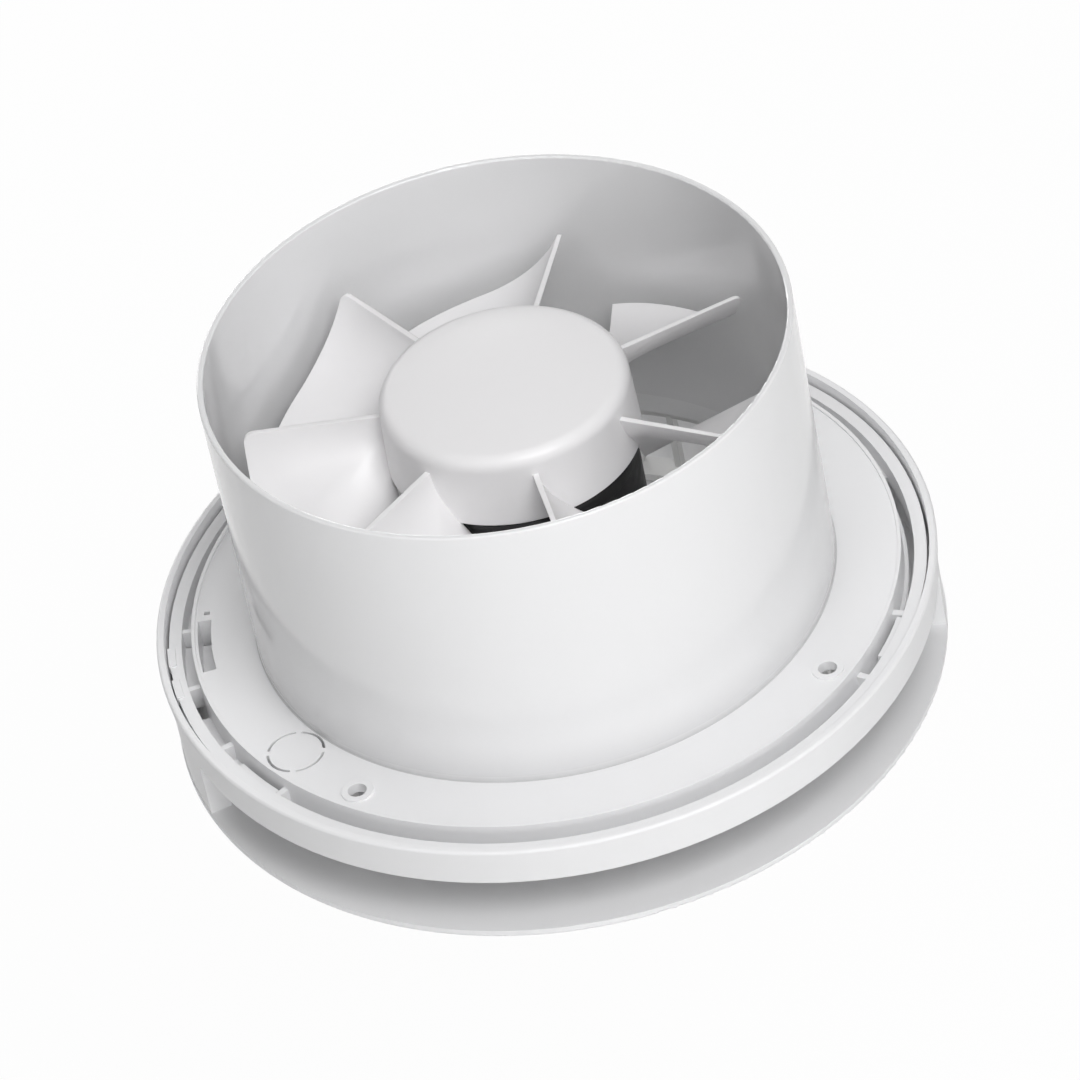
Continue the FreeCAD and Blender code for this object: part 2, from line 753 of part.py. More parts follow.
def shaft_pieces():
    r = d.shaft_radius
    tip = r - d.shaft_chamfer
    turned_piece("rotor_shaft", [
        (0, shaft_bottom),
        (tip, shaft_bottom),
        (r, shaft_bottom + d.shaft_chamfer),
        (r, shaft_top - d.shaft_chamfer),
        (tip, shaft_top),
        (0, shaft_top),
    ])
    bore = r + d.press_gap
    waist = (boss_bottom + bush_top) / 2
    half = d.bush_length / 8
    turned_piece("hub_bush", [
        (bore, boss_bottom),
        (d.bush_radius, boss_bottom),
        (d.bush_radius, waist - half),
        (d.bush_radius - d.bush_groove, waist - half),
        (d.bush_radius - d.bush_groove, waist + half),
        (d.bush_radius, waist + half),
        (d.bush_radius, bush_top),
        (bore, bush_top),
    ])
    clip = new_body("hub_spring_clip")
    clip_inside = d.boss_radius + d.press_gap
    turned(clip, "clip_ring",
           block(clip_inside, clip_inside + d.clip_wire, boss_bottom, boss_bottom + d.clip_length),
           d.clip_ring_angle)
    bottom = lower_bearing + d.bearing_width + d.seat_gap
    top = upper_bearing - d.seat_gap
    core_low = core_bottom + d.end_ring_sink
    core_high = core_top - d.end_ring_sink
    face = core_bore - d.air_gap
    turned_piece("rotor_core", [
        (bore, bottom + d.washer_thick),
        (d.rotor_boss_radius, bottom + d.washer_thick),
        (d.rotor_boss_radius, core_low),
        (face, core_low),
        (face, core_high),
        (d.rotor_boss_radius, core_high),
        (d.rotor_boss_radius, top - d.washer_thick),
        (bore, top - d.washer_thick),
    ])
    washer_bore = r + d.running_gap
    turned_piece("thrust_washers",
                 block(washer_bore, d.washer_radius, bottom, bottom + d.washer_thick),
                 block(washer_bore, d.washer_radius, top - d.washer_thick, top))


def bearing(label, low):
    high = low + d.bearing_width
    inner = d.shaft_radius + d.running_gap
    shield_in = inner + d.bearing_race
    shield_out = d.bearing_radius - d.bearing_race
    turned_piece(label, [
        (inner, low),
        (shield_in, low),
        (shield_in, low + d.bearing_shield_sink),
        (shield_out, low + d.bearing_shield_sink),
        (shield_out, low),
        (d.bearing_radius, low),
        (d.bearing_radius, high),
        (shield_out, high),
        (shield_out, high - d.bearing_shield_sink),
        (shield_in, high - d.bearing_shield_sink),
        (shield_in, high),
        (inner, high),
    ])


def bolt_holes(body, radius, low, high):
    hole = turned(body, "bolt_hole", block(0, radius, low, high), off=bolt_circle, cut=True)
    ringed(body, "bolt_holes", [hole], d.bolt_count)


def motor_shell():
    body = new_body("motor_shell")
    ledge = motor_inner - d.core_ledge
    seat_top = lower_bearing + d.bearing_width
    turned(body, "cup", [
        (d.shaft_hole, d.motor_bottom),
        (d.motor_radius - d.motor_taper, d.motor_bottom),
        (d.motor_radius, d.motor_bottom + d.motor_taper),
        (d.motor_radius, motor_split),
        (motor_inner, motor_split),
        (motor_inner, core_bottom),
        (ledge, core_bottom),
        (ledge, lower_bearing + d.motor_taper / 2),
        (ledge - d.motor_taper / 2, lower_bearing),
        (seat_outer, lower_bearing),
        (seat_outer, seat_top),
        (seat_radius, seat_top),
        (seat_radius, lower_bearing),
        (d.shaft_hole, lower_bearing),
    ])
    bolt_holes(body, d.bolt_radius + d.slip_gap, d.motor_bottom - d.cut_over, core_bottom + d.cut_over)


def motor_end_cap():
    body = new_body("motor_end_cap")
    roof = motor_top - d.motor_roof
    turned(body, "cap", [
        (d.shaft_hole, roof),
        (seat_radius, roof),
        (seat_radius, upper_bearing),
        (seat_outer, upper_bearing),
        (seat_outer, roof),
        (motor_inner, roof),
        (motor_inner, motor_split),
        (d.motor_radius, motor_split),
        (d.motor_radius, motor_top - d.motor_round, d.motor_round),
        (d.motor_radius - d.motor_round, motor_top),
        (d.shaft_hole, motor_top),
    ])
    bolt_holes(body, d.bolt_radius + d.slip_gap, roof - d.cut_over, motor_top + d.cut_over)
    sink_radius = d.bolt_head_radius + d.slip_gap
    sink_floor = motor_top - d.bolt_head_sink
    sink = turned(body, "head_sink", block(0, sink_radius, sink_floor, motor_top + d.cut_over),
                  off=bolt_circle, cut=True)
    ringed(body, "head_sinks", [sink], d.bolt_count)


def stator():
    body = new_body("stator_core")
    outer = motor_inner - d.slip_gap
    turned(body, "stack", block(core_bore, outer, core_bottom, core_top))
    mouth = d.core_slot_mouth / 2
    half = d.core_slot_width / 2
    slot_inner = core_bore + d.core_tooth_tip
    slot = padded(body, "core_slot", [
        (core_bore - d.cut_over, -mouth),
        (slot_inner, -mouth),
        (slot_inner, -half),
        (slot_inner + d.core_slot_depth, -half),
        (slot_inner + d.core_slot_depth, half),
        (slot_inner, half),
        (slot_inner, mouth),
        (core_bore - d.cut_over, mouth),
    ], core_bottom - d.cut_over, core_top + d.cut_over, 180 / d.core_slot_count, cut=True)
    ringed(body, "core_slots", [slot], d.core_slot_count)
    bolt_holes(body, d.bolt_radius + d.slip_gap, core_bottom - d.cut_over, core_top + d.cut_over)

    inner = slot_inner
    rim = bolt_circle - d.bolt_radius - d.seat_gap
    r = d.winding_round

    def end_turn(low, high, far):
        # a ring of end turns with its two edges away from the core rounded
        near = low if far == high else high
        way = 1 if far == high else -1
        ring = [
            (inner, near),
            (rim, near),
            (rim, far - way * r, way * r),
            (rim - r, far),
            (inner + r, far, way * r),
            (inner, far - way * r),
        ]
        return ring

    top = core_top + d.winding_height
    bottom = core_bottom - d.winding_height
    turned_piece("stator_windings", end_turn(core_top, top, top), end_turn(bottom, core_bottom, bottom))


def bolted_pieces():
    bolts = new_body("motor_bolts")
    seat = motor_top - d.bolt_head_sink
    end = cage_flange_bottom - d.nut_height - d.bolt_overrun
    bolt = turned(bolts, "bolt", [
        (0, end),
        (d.bolt_radius, end),
        (d.bolt_radius, seat),
        (d.bolt_head_radius, seat),
        (d.bolt_head_radius, seat + d.bolt_head_height),
        (0, seat + d.bolt_head_height),
    ], off=bolt_circle)
    ringed(bolts, "bolt_ring", [bolt], d.bolt_count)

    nuts = new_body("motor_nuts")
    reach = d.nut_flats / (2 * cosine(30))
    hexagon = [(bolt_circle + reach * cosine(60 * k), reach * sine(60 * k)) for k in range(6)]
    nut = padded(nuts, "nut", hexagon, cage_flange_bottom - d.nut_height, cage_flange_bottom,
                 circles=[((bolt_circle, 0), d.bolt_radius + d.press_gap)])
    ringed(nuts, "nut_ring", [nut], d.bolt_count)

    grommets = new_body("rubber_grommets")
    bore = d.bolt_radius + d.slip_gap
    grommet = turned(grommets, "grommet", [
        (bore, cage_flange_bottom),
        (d.grommet_neck, cage_flange_bottom),
        (d.grommet_neck, cage_flange_top),
        (d.grommet_radius, cage_flange_top),
        (d.grommet_radius, d.motor_bottom),
        (bore, d.motor_bottom),
    ], off=bolt_circle)
    ringed(grommets, "grommet_ring", [grommet], d.bolt_count)


def motor_cage():
    body = new_body("motor_cage")
    turned(body, "cone", [
        (d.cage_flange_hole, cage_flange_bottom),
        (cage_cone_top - d.cage_wall, cage_flange_bottom),
        (cage_cone_foot - d.cage_wall, cage_foot),
        (cage_cone_foot, cage_foot),
        (cage_cone_top, cage_flange_top),
        (d.cage_flange_hole, cage_flange_top),
    ])
    half = d.arm_width / 2
    arm = padded(body, "arm",
                 block(cage_cone_foot - d.cage_wall, cage_floor_inner + d.cage_wall, -half, half),
                 cage_foot, arm_top)
    ringed(body, "arms", [arm], d.arm_count)
    turned(body, "floor_ring", block(cage_floor_inner, cage_outer, cage_foot, floor_top))
    ring_out = cage_inner + d.cage_ring_depth
    turned(body, "top_ring", block(cage_inner, ring_out, ear_bottom, ear_top))
    half = d.ear_width / 2
    ear = padded(body, "ear", [
        (ring_out - d.cage_wall / 2, -half),
        (ear_circle, -half, half),
        (ear_circle + half, 0, half),
        (ear_circle, half),
        (ring_out - d.cage_wall / 2, half),
    ], ear_bottom, ear_top, d.ear_azimuth)
    hole = turned(body, "ear_hole",
                  block(0, d.screw_radius + d.slip_gap, ear_bottom - d.cut_over, ear_top + d.cut_over),
                  off=ear_circle, off_azimuth=d.ear_azimuth, cut=True)
    ringed(body, "ears", [ear, hole], d.ear_count)
    half = d.cage_rib_width / 2
    rib = padded(body, "cage_rib", block(cage_inner + d.slip_gap, cage_outer - d.slip_gap, -half, half),
                 floor_top - d.cage_rib_root, ear_bottom + d.cage_rib_root, 180 / d.cage_rib_count)
    ringed(body, "cage_ribs", [rib], d.cage_rib_count)
    bolt_holes(body, d.grommet_neck + d.press_gap,
               cage_flange_bottom - d.cut_over, cage_flange_top + d.cut_over)
    turned(body, "lead_notch",
           block(cage_cone_top - d.cage_wall * 2, cage_cone_foot + d.cut_over,
                 arm_top, arm_top + d.lead_notch_height),
           d.lead_notch_angle, 180, cut=True)


def screw(body, name, x, y, seat, bite, radius, head, head_height):
    # A pan-head screw driven upwards: its head is below the height seat.
    return spot(body, name, x, y, [
        (0, seat - head_height),
        (head, seat - head_height),
        (head, seat),
        (radius, seat),
        (radius, seat + bite),
        (0, seat + bite),
    ])


def fixing_screws():
    cage_screws = new_body("cage_screws")
    place = (ear_circle * cosine(d.ear_azimuth), ear_circle * sine(d.ear_azimuth))
    first = screw(cage_screws, "cage_screw", *place, ear_bottom,
                  d.cage_ring_thick + d.screw_bite - d.seat_gap,
                  d.screw_radius, d.screw_head, d.screw_head_height)
    ringed(cage_screws, "cage_screw_ring", [first], d.ear_count)

    tray_screw = new_body("terminal_cover_screw")
    screw(tray_screw, "tray_screw", -tray_screw_place, 0, tray_base,
          d.tray_floor + d.tray_screw_bite - d.seat_gap, d.screw_radius, d.screw_head, d.screw_head_height)

    clamp_screws = new_body("cable_clamp_screws")
    for k, side in enumerate(clamp_sides):
        screw(clamp_screws, "clamp_screw_%d" % k, -clamp_place, side, clamp_bottom,
              d.clamp_thick + d.clamp_screw_bite - d.seat_gap,
              d.clamp_screw_radius, d.clamp_screw_head, d.clamp_screw_head_height)


def terminal_pieces():
    far_side = d.block_side - d.block_width
    body = new_body("terminal_block")
    padded(body, "block", block(-block_outer, -block_inner, far_side, d.block_side), block_front, plate_front)
    well_top = block_front + d.block_well_depth
    for k, side in enumerate(well_sides):
        spot(body, "well_%d" % k, -block_well_place, side,
             block(0, d.block_well_radius, block_front - d.cut_over, well_top), cut=True)
    screws = new_body("terminal_screws")
    for k, side in enumerate(well_sides):
        spot(screws, "terminal_screw_%d" % k, -block_well_place, side,
             block(0, d.block_well_radius - d.slip_gap, well_top - d.block_screw_height, well_top))

    tray = new_body("terminal_cover")
    half = d.tray_half_width
    outer, inner = -tray_outer, -tray_inner
    padded(tray, "floor", block(outer, inner, -half, half), tray_base, tray_bed)
    padded(tray, "outer_wall", block(outer, outer + d.tray_wall, -half, half), tray_bed, base_front)
    padded(tray, "inner_wall", block(inner - d.tray_wall, inner, -half, half), tray_bed, plate_front)
    for name, near in (("left", -half), ("right", half - d.tray_wall)):
        padded(tray, name + "_wall", block(outer, inner, near, near + d.tray_wall), tray_bed, base_front)
        padded(tray, name + "_upstand", block(-tray_shoulder, inner, near, near + d.tray_wall),
               base_front, plate_front)
    spot(tray, "tray_hole", -tray_screw_place, 0,
         block(0, d.screw_radius + d.slip_gap, tray_base - d.cut_over, tray_bed + d.cut_over), cut=True)
    notch = d.tray_notch_width / 2
    padded(tray, "lead_gate", block(inner - d.tray_wall - d.slip_gap, inner + d.cut_over, -notch, notch),
           tray_bed, tray_bed + d.tray_notch_height, cut=True)

    clamp = new_body("cable_clamp")
    near, far = clamp_sides
    half = d.clamp_width / 2
    padded(clamp, "bar",
           block(-clamp_place - half, -clamp_place + half, near - d.clamp_end, far + d.clamp_end),
           clamp_bottom, clamp_top,
           circles=[((-clamp_place, side), d.clamp_screw_radius + d.slip_gap) for side in clamp_sides])


def lead(label, side, lane, end_side):
    # A motor lead: straight runs joined by tangent arcs, from the motor's floor down through the cone,
    # along the arm, through the cage and the tray's gate and up into the terminal block.
    above = d.lead_radius.value + d.slip_gap.value
    arm_level = arm_top.value + above
    tray_level = tray_bed.value + above
    entry = d.lead_entry.value
    foot = cage_cone_foot.value
    points = [
        Vector(-entry, side, d.motor_bottom.value),
        Vector(-entry, side, -6.0),
        Vector(-entry - 13.0, side, arm_level + 4.0),
        Vector(-foot - 4.0, side + 0.2, arm_level + 0.1),
        Vector(-foot - 24.0, side, tray_level - 0.1),
        Vector(-lane, side - 0.3, tray_level + 0.2),
        Vector(-lane + 0.2, end_side, tray_level + 0.4),
        Vector(-lane + 0.2, end_side, block_front.value),
    ]
    edges = []
    begin = points[0]
    radii = []
    for before, corner, after in zip(points, points[1:], points[2:]):
        back = before - corner
        onward = after - corner
        run = 0.45 * min(back.Length, onward.Length)
        turn = math.pi - back.getAngle(onward)
        radii.append(run / math.tan(turn / 2))
        back.normalize()
        onward.normalize()
        near = corner + back * run
        far = corner + onward * run
        middle = (back + onward).normalize()
        apex = corner + middle * radii[-1] * (1 / math.cos(turn / 2) - 1)
        edges.append(Part.LineSegment(begin, near).toShape())
        edges.append(Part.Arc(near, apex, far).toShape())
        begin = far
    edges.append(Part.LineSegment(begin, points[-1]).toShape())
    path = Part.Wire(edges)
    ring = Part.Wire(Part.Circle(points[0], points[1] - points[0], d.lead_radius.value).toShape())
    piece = doc.addObject("Part::Feature", label)
    piece.Shape = path.makePipeShell([ring], True, False)
    parts.append(piece)
    print(label, "bend radii", [round(radius, 1) for radius in radii],
          "volume ratio", round(piece.Shape.Volume / (math.pi * d.lead_radius.value ** 2 * path.Length), 4))


def leads():
    first_lane = block_inner.value + d.lead_lane.value
    lead("motor_lead_live", 0, first_lane + d.lead_gap.value, well_sides[0].value)
    lead("motor_lead_neutral", -d.lead_gap.value, first_lane, well_sides[1].value)


def check_and_write():
    doc.recompute()
    for item in doc.Objects:
        bad = [state for state in item.State if state in ("Invalid", "Error")]
        if bad:
            raise RuntimeError("%s did not build: %s" % (item.Name, item.getStatusString()))
    os.makedirs("parts", exist_ok=True)
    for piece in parts:
        if piece.Shape.isNull() or not piece.Shape.isValid():
            raise RuntimeError("%s has no valid shape" % piece.Label)
    for piece in parts:
        piece.Shape.exportStep("parts/%s.step" % piece.Label)
        print(piece.Label, len(piece.Shape.Solids), round(piece.Shape.Volume, 1))


rear_housing()
motor_cage()
motor_shell()
motor_end_cap()
stator()
bearing("bearing_lower", lower_bearing)
bearing("bearing_upper", upper_bearing)
bolted_pieces()
fixing_screws()
terminal_pieces()
leads()
impeller()
shaft_pieces()
front_cover()
check_and_write()
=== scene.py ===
import json
import math

import bmesh
import bpy
from mathutils import Matrix, Vector


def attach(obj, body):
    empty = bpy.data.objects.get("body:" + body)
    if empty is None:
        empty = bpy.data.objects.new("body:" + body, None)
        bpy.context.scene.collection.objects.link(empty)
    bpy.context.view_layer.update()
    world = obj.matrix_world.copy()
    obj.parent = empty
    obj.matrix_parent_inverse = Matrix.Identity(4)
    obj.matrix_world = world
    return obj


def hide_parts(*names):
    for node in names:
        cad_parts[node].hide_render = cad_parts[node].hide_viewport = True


# Bathroom exhaust fan, seen from its duct side on white. Metres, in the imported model's frame.
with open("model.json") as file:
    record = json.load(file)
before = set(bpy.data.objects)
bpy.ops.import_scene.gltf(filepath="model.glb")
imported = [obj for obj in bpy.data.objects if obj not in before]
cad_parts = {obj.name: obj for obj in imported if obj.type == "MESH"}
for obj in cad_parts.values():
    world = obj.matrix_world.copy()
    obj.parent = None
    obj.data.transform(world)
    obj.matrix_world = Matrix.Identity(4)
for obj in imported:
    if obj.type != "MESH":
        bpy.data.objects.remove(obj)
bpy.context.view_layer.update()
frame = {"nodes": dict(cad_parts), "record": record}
mm = 0.001


def linear(hexText):
    # sRGB hex to the linear colour that a shader socket takes
    shares = [int(hexText[k:k + 2], 16) / 255 for k in (1, 3, 5)]
    return tuple(s / 12.92 if s <= 0.04045 else ((s + 0.055) / 1.055) ** 2.4 for s in shares) + (1.0,)


def addNode(tree, kind, values=None, links=None, **settings):
    # a Mix node's inputs are 0 share, 2 and 3 numbers, 6 and 7 colours; its outputs 0 number, 2 colour
    node = tree.nodes.new(kind)
    for name, value in settings.items():
        setattr(node, name, value)
    for name, value in (values or {}).items():
        node.inputs[name].default_value = value
    for name, source in (links or {}).items():
        tree.links.new(source, node.inputs[name])
    return node


# Camera at the photograph's angle
cameraFit = {
    "imagePixels": 1080, "focalPixels": 6800.7, "sensor": 36.0, "nearest": 0.05,
    "distance": 1.7133, "elevation": 39.75, "roll": -11.92,
    "asideRight": 0.00102, "asideUp": -0.00990,   # where the duct's foot lies beside the picture's middle
    "frameTurn": -4.0,                            # the model's frame against the picture's
}


def placeCamera(fit):
    tilt, roll = math.radians(fit["elevation"]), math.radians(fit["roll"])
    level = Vector((1, 0, 0))
    upright = Vector((0, math.sin(tilt), math.cos(tilt)))
    back = Vector((0, -math.cos(tilt), math.sin(tilt)))
    right = level * math.cos(roll) + upright * math.sin(roll)
    up = upright * math.cos(roll) - level * math.sin(roll)
    pose = Matrix((right, up, back)).transposed().to_4x4()
    pose.translation = back * fit["distance"] - right * fit["asideRight"] - up * fit["asideUp"]
    camera = bpy.data.objects.new("photoCamera", bpy.data.cameras.new("photoCamera"))
    camera.data.sensor_width = fit["sensor"]
    camera.data.lens = fit["focalPixels"] / fit["imagePixels"] * fit["sensor"]
    camera.data.clip_start = fit["nearest"]
    camera.matrix_world = Matrix.Rotation(math.radians(fit["frameTurn"]), 4, "Z") @ pose
    bpy.context.scene.collection.objects.link(camera)
    bpy.context.scene.camera = camera


placeCamera(cameraFit)
print("camera placed")

# How every material's patterns are drawn
patternLook = {
    "cloudDetail": 3.0, "cloudLow": 0.3, "cloudHigh": 0.7,      # the noise's range that roughness follows
    "grainDetail": 2.0, "drawDetail": 1.0, "lineDetail": 2.0,
    "drawStretch": (1, 1, 0.06),                                # marks run along the mould's pull
    "lineStretch": (0.05, 0.05, 1.0),                           # lines run round the axis
    "edgeSamples": 6,
}

# Moulded plastics: colour drifts a little over the part. Grain is the tool's spark-eroded finish,
# some 0.1 mm on the real part and drawn coarser here, as far as it needs to show.
plasticLooks = {
    "glossWhiteAbs": {      # polished tool: clear soft reflections on the duct, satin on the flat plate
        "colour": "#eeeeef", "drift": "#e9e9ea", "driftMm": 70, "roughLow": 0.10, "roughHigh": 0.16,
        "grainMm": 1.1, "grainDepthMm": 0.003, "drawMm": 6.0, "drawDepthMm": 0.010,
        "edgeMm": 0.16, "ior": 1.53,
        "plateTopMm": 0.4, "plateBlendMm": 2.0, "plateRough": 0.36,     # satin from here down
        "shadeFootMm": -0.6, "shadeRiseMm": 13.5, "shadeFall": 2.0,            # painted shade: the duct's foot darkened, fading upwards
        "paintedShadeColour": "#cbcbcc", "ductSkinMm": 74.0, "skinBandMm": 0.3,     # on its outside alone
    },
    "satinWhiteAbs": {      # eroded tool: broad dull sheen
        "colour": "#eeeeef", "drift": "#e9e9ea", "driftMm": 60, "roughLow": 0.46, "roughHigh": 0.54,
        "grainMm": 0.8, "grainDepthMm": 0.006, "drawMm": 9.0, "drawDepthMm": 0.004,
        "edgeMm": 0.22, "ior": 1.53,
    },
    "whitePolypropylene": {     # fan wheel: waxy, broad sheen
        "colour": "#f5f4f5", "drift": "#f0eff0", "driftMm": 34, "roughLow": 0.30, "roughHigh": 0.40,
        "grainMm": 0.9, "grainDepthMm": 0.006, "drawMm": 7.0, "drawDepthMm": 0.006,
        "edgeMm": 0.30, "ior": 1.49,
    },
    "cageAbs": {            # inner moulding: duller and a little greyer
        "colour": "#ebebea", "drift": "#e3e3e2", "driftMm": 28, "roughLow": 0.42, "roughHigh": 0.52,
        "grainMm": 0.9, "grainDepthMm": 0.010, "drawMm": 6.0, "drawDepthMm": 0.004,
        "edgeMm": 0.25, "ior": 1.53,
    },
    "glassFilledNylon": {   # motor housing: black, slightly mottled by the fibres
        "colour": "#19191a", "drift": "#242425", "driftMm": 4, "roughLow": 0.40, "roughHigh": 0.58,
        "grainMm": 0.7, "grainDepthMm": 0.020, "drawMm": 3.0, "drawDepthMm": 0.004,
        "edgeMm": 0.25, "ior": 1.55,
    },
    "greyPolyamide": {      # terminal block: natural, dull
        "colour": "#cfd0cd", "drift": "#c4c5c2", "driftMm": 9, "roughLow": 0.44, "roughHigh": 0.54,
        "grainMm": 0.7, "grainDepthMm": 0.010, "drawMm": 4.0, "drawDepthMm": 0.004,
        "edgeMm": 0.20, "ior": 1.53,
    },
    "blackRubber": {        # grommets: matt, faint bloom
        "colour": "#1c1c1d", "drift": "#2b2b2c", "driftMm": 3, "roughLow": 0.72, "roughHigh": 0.86,
        "grainMm": 0.6, "grainDepthMm": 0.020, "drawMm": 3.0, "drawDepthMm": 0.004,
        "edgeMm": 0.20, "ior": 1.52,
    },
    "brownPvc": {           # live lead's insulation: smooth, drawn
        "colour": "#5e3417", "drift": "#6b3e1e", "driftMm": 6, "roughLow": 0.36, "roughHigh": 0.46,
        "grainMm": 0.6, "grainDepthMm": 0.008, "drawMm": 2.0, "drawDepthMm": 0.004,
        "edgeMm": 0.10, "ior": 1.52,
    },
    "bluePvc": {            # neutral lead's insulation: smooth, drawn
        "colour": "#2d62a8", "drift": "#3a70b5", "driftMm": 6, "roughLow": 0.36, "roughHigh": 0.46,
        "grainMm": 0.6, "grainDepthMm": 0.008, "drawMm": 2.0, "drawDepthMm": 0.004,
        "edgeMm": 0.10, "ior": 1.52,
    },
}

# Metals: turned, stamped or plated, with the lines of that work, drawn coarse enough to show
metalLooks = {
    "siliconSteelSheet": {  # stacked laminations: fine lines across the axis
        "colour": "#8f8f92", "drift": "#6f7074", "driftMm": 6, "roughLow": 0.34, "roughHigh": 0.50,
        "lineMm": 0.5, "lineDepthMm": 0.03,
    },
    "enamelledCopper": {    # windings: lacquered wire, lines round the bundle
        "colour": "#b5652f", "drift": "#8f4a20", "driftMm": 3, "roughLow": 0.22, "roughHigh": 0.36,
        "lineMm": 0.6, "lineDepthMm": 0.06,
    },
    "bearingSteel": {       # ground rings: smooth and bright
        "colour": "#b9babd", "drift": "#a7a8ac", "driftMm": 5, "roughLow": 0.16, "roughHigh": 0.26,
        "lineMm": 0.3, "lineDepthMm": 0.004,
    },
    "zincPlatedSteel": {    # screws: bright, faintly cloudy passivation
        "colour": "#c3c6c9", "drift": "#adb1b6", "driftMm": 1.6, "roughLow": 0.24, "roughHigh": 0.38,
        "lineMm": 0.4, "lineDepthMm": 0.004,
    },
    "groundShaftSteel": {   # shaft: fine lines round it
        "colour": "#c0c1c4", "drift": "#b0b1b4", "driftMm": 8, "roughLow": 0.14, "roughHigh": 0.22,
        "lineMm": 0.3, "lineDepthMm": 0.003,
    },
    "nickelledBrass": {     # terminal screws: warm, half bright
        "colour": "#c9a35a", "drift": "#b48d45", "driftMm": 2, "roughLow": 0.24, "roughHigh": 0.36,
        "lineMm": 0.3, "lineDepthMm": 0.004,
    },
}


def startMaterial(name, look):
    material = bpy.data.materials.new(name)
    material.use_nodes = True
    tree = material.node_tree
    shader = tree.nodes["Principled BSDF"]
    place = addNode(tree, "ShaderNodeTexCoord").outputs["Object"]
    cloud = addNode(tree, "ShaderNodeTexNoise",
                    {"Scale": 1 / (look["driftMm"] * mm), "Detail": patternLook["cloudDetail"]},
                    {"Vector": place})
    tint = addNode(tree, "ShaderNodeMix", {6: linear(look["colour"]), 7: linear(look["drift"])},
                   {0: cloud.outputs["Fac"]}, data_type="RGBA")
    tree.links.new(tint.outputs[2], shader.inputs["Base Color"])
    rough = addNode(tree, "ShaderNodeMapRange",
                    {"From Min": patternLook["cloudLow"], "From Max": patternLook["cloudHigh"],
                     "To Min": look["roughLow"], "To Max": look["roughHigh"]},
                    {"Value": cloud.outputs["Fac"]})
    tree.links.new(rough.outputs["Result"], shader.inputs["Roughness"])
    return material, tree, shader, place


def plastic(name, look):
    material, tree, shader, place = startMaterial(name, look)
    shader.inputs["IOR"].default_value = look["ior"]
    edge = addNode(tree, "ShaderNodeBevel", {"Radius": look["edgeMm"] * mm},
                   samples=patternLook["edgeSamples"])
    grain = addNode(tree, "ShaderNodeTexNoise",
                    {"Scale": 1 / (look["grainMm"] * mm), "Detail": patternLook["grainDetail"]},
                    {"Vector": place})
    drawn = addNode(tree, "ShaderNodeMapping", {"Scale": patternLook["drawStretch"]}, {"Vector": place})
    marks = addNode(tree, "ShaderNodeTexNoise",
                    {"Scale": 1 / (look["drawMm"] * mm), "Detail": patternLook["drawDetail"]},
                    {"Vector": drawn.outputs["Vector"]})
    pull = addNode(tree, "ShaderNodeBump", {"Strength": 1.0, "Distance": look["drawDepthMm"] * mm},
                   {"Height": marks.outputs["Fac"], "Normal": edge.outputs["Normal"]})
    bump = addNode(tree, "ShaderNodeBump", {"Strength": 1.0, "Distance": look["grainDepthMm"] * mm},
                   {"Height": grain.outputs["Fac"], "Normal": pull.outputs["Normal"]})
    tree.links.new(bump.outputs["Normal"], shader.inputs["Normal"])
    return material


def metal(name, look):
    material, tree, shader, place = startMaterial(name, look)
    shader.inputs["Metallic"].default_value = 1.0
    along = addNode(tree, "ShaderNodeMapping", {"Scale": patternLook["lineStretch"]}, {"Vector": place})
    lines = addNode(tree, "ShaderNodeTexNoise",
                    {"Scale": 1 / (look["lineMm"] * mm), "Detail": patternLook["lineDetail"]},
                    {"Vector": along.outputs["Vector"]})
    bump = addNode(tree, "ShaderNodeBump", {"Strength": 1.0, "Distance": look["lineDepthMm"] * mm},
                   {"Height": lines.outputs["Fac"]})
    tree.links.new(bump.outputs["Normal"], shader.inputs["Normal"])
    return material


def zoneHousing(material, look):
    # satin below the plate's level, and painted shade darkening the outside of the duct towards its foot
    tree = material.node_tree
    shader = tree.nodes["Principled BSDF"]
    place = addNode(tree, "ShaderNodeTexCoord").outputs["Object"]
    height = addNode(tree, "ShaderNodeSeparateXYZ", None, {0: place}).outputs["Z"]
    flat = addNode(tree, "ShaderNodeVectorMath", {1: (1, 1, 0)}, {0: place}, operation="MULTIPLY")
    radius = addNode(tree, "ShaderNodeVectorMath", None, {0: flat.outputs[0]}, operation="LENGTH")
    plateTop, foot = look["plateTopMm"] * mm, look["shadeFootMm"] * mm
    plate = addNode(tree, "ShaderNodeMapRange",
                    {"From Min": plateTop, "From Max": plateTop + look["plateBlendMm"] * mm,
                     "To Min": 1.0, "To Max": 0.0}, {"Value": height})
    polished = shader.inputs["Roughness"].links[0].from_socket
    rough = addNode(tree, "ShaderNodeMix", {3: look["plateRough"]}, {0: plate.outputs[0], 2: polished})
    tree.links.new(rough.outputs[0], shader.inputs["Roughness"])
    # painted shade: the base colour darkened towards the duct's foot, on its outside skin alone
    shadeRamp = addNode(tree, "ShaderNodeMapRange",
                   {"From Min": foot, "From Max": foot + look["shadeRiseMm"] * mm,
                    "To Min": 1.0, "To Max": 0.0}, {"Value": height})
    footShade = addNode(tree, "ShaderNodeMath", {1: look["shadeFall"]}, {0: shadeRamp.outputs[0]}, operation="POWER")
    onSkin = addNode(tree, "ShaderNodeMath", {1: look["ductSkinMm"] * mm, 2: look["skinBandMm"] * mm},
                     {0: radius.outputs["Value"]}, operation="COMPARE")
    share = addNode(tree, "ShaderNodeMath", None, {0: footShade.outputs[0], 1: onSkin.outputs[0]},
                    operation="MULTIPLY")
    base = shader.inputs["Base Color"].links[0].from_socket
    shadedBase = addNode(tree, "ShaderNodeMix", {7: linear(look["paintedShadeColour"])},
                     {0: share.outputs[0], 6: base}, data_type="RGBA")
    tree.links.new(shadedBase.outputs[2], shader.inputs["Base Color"])


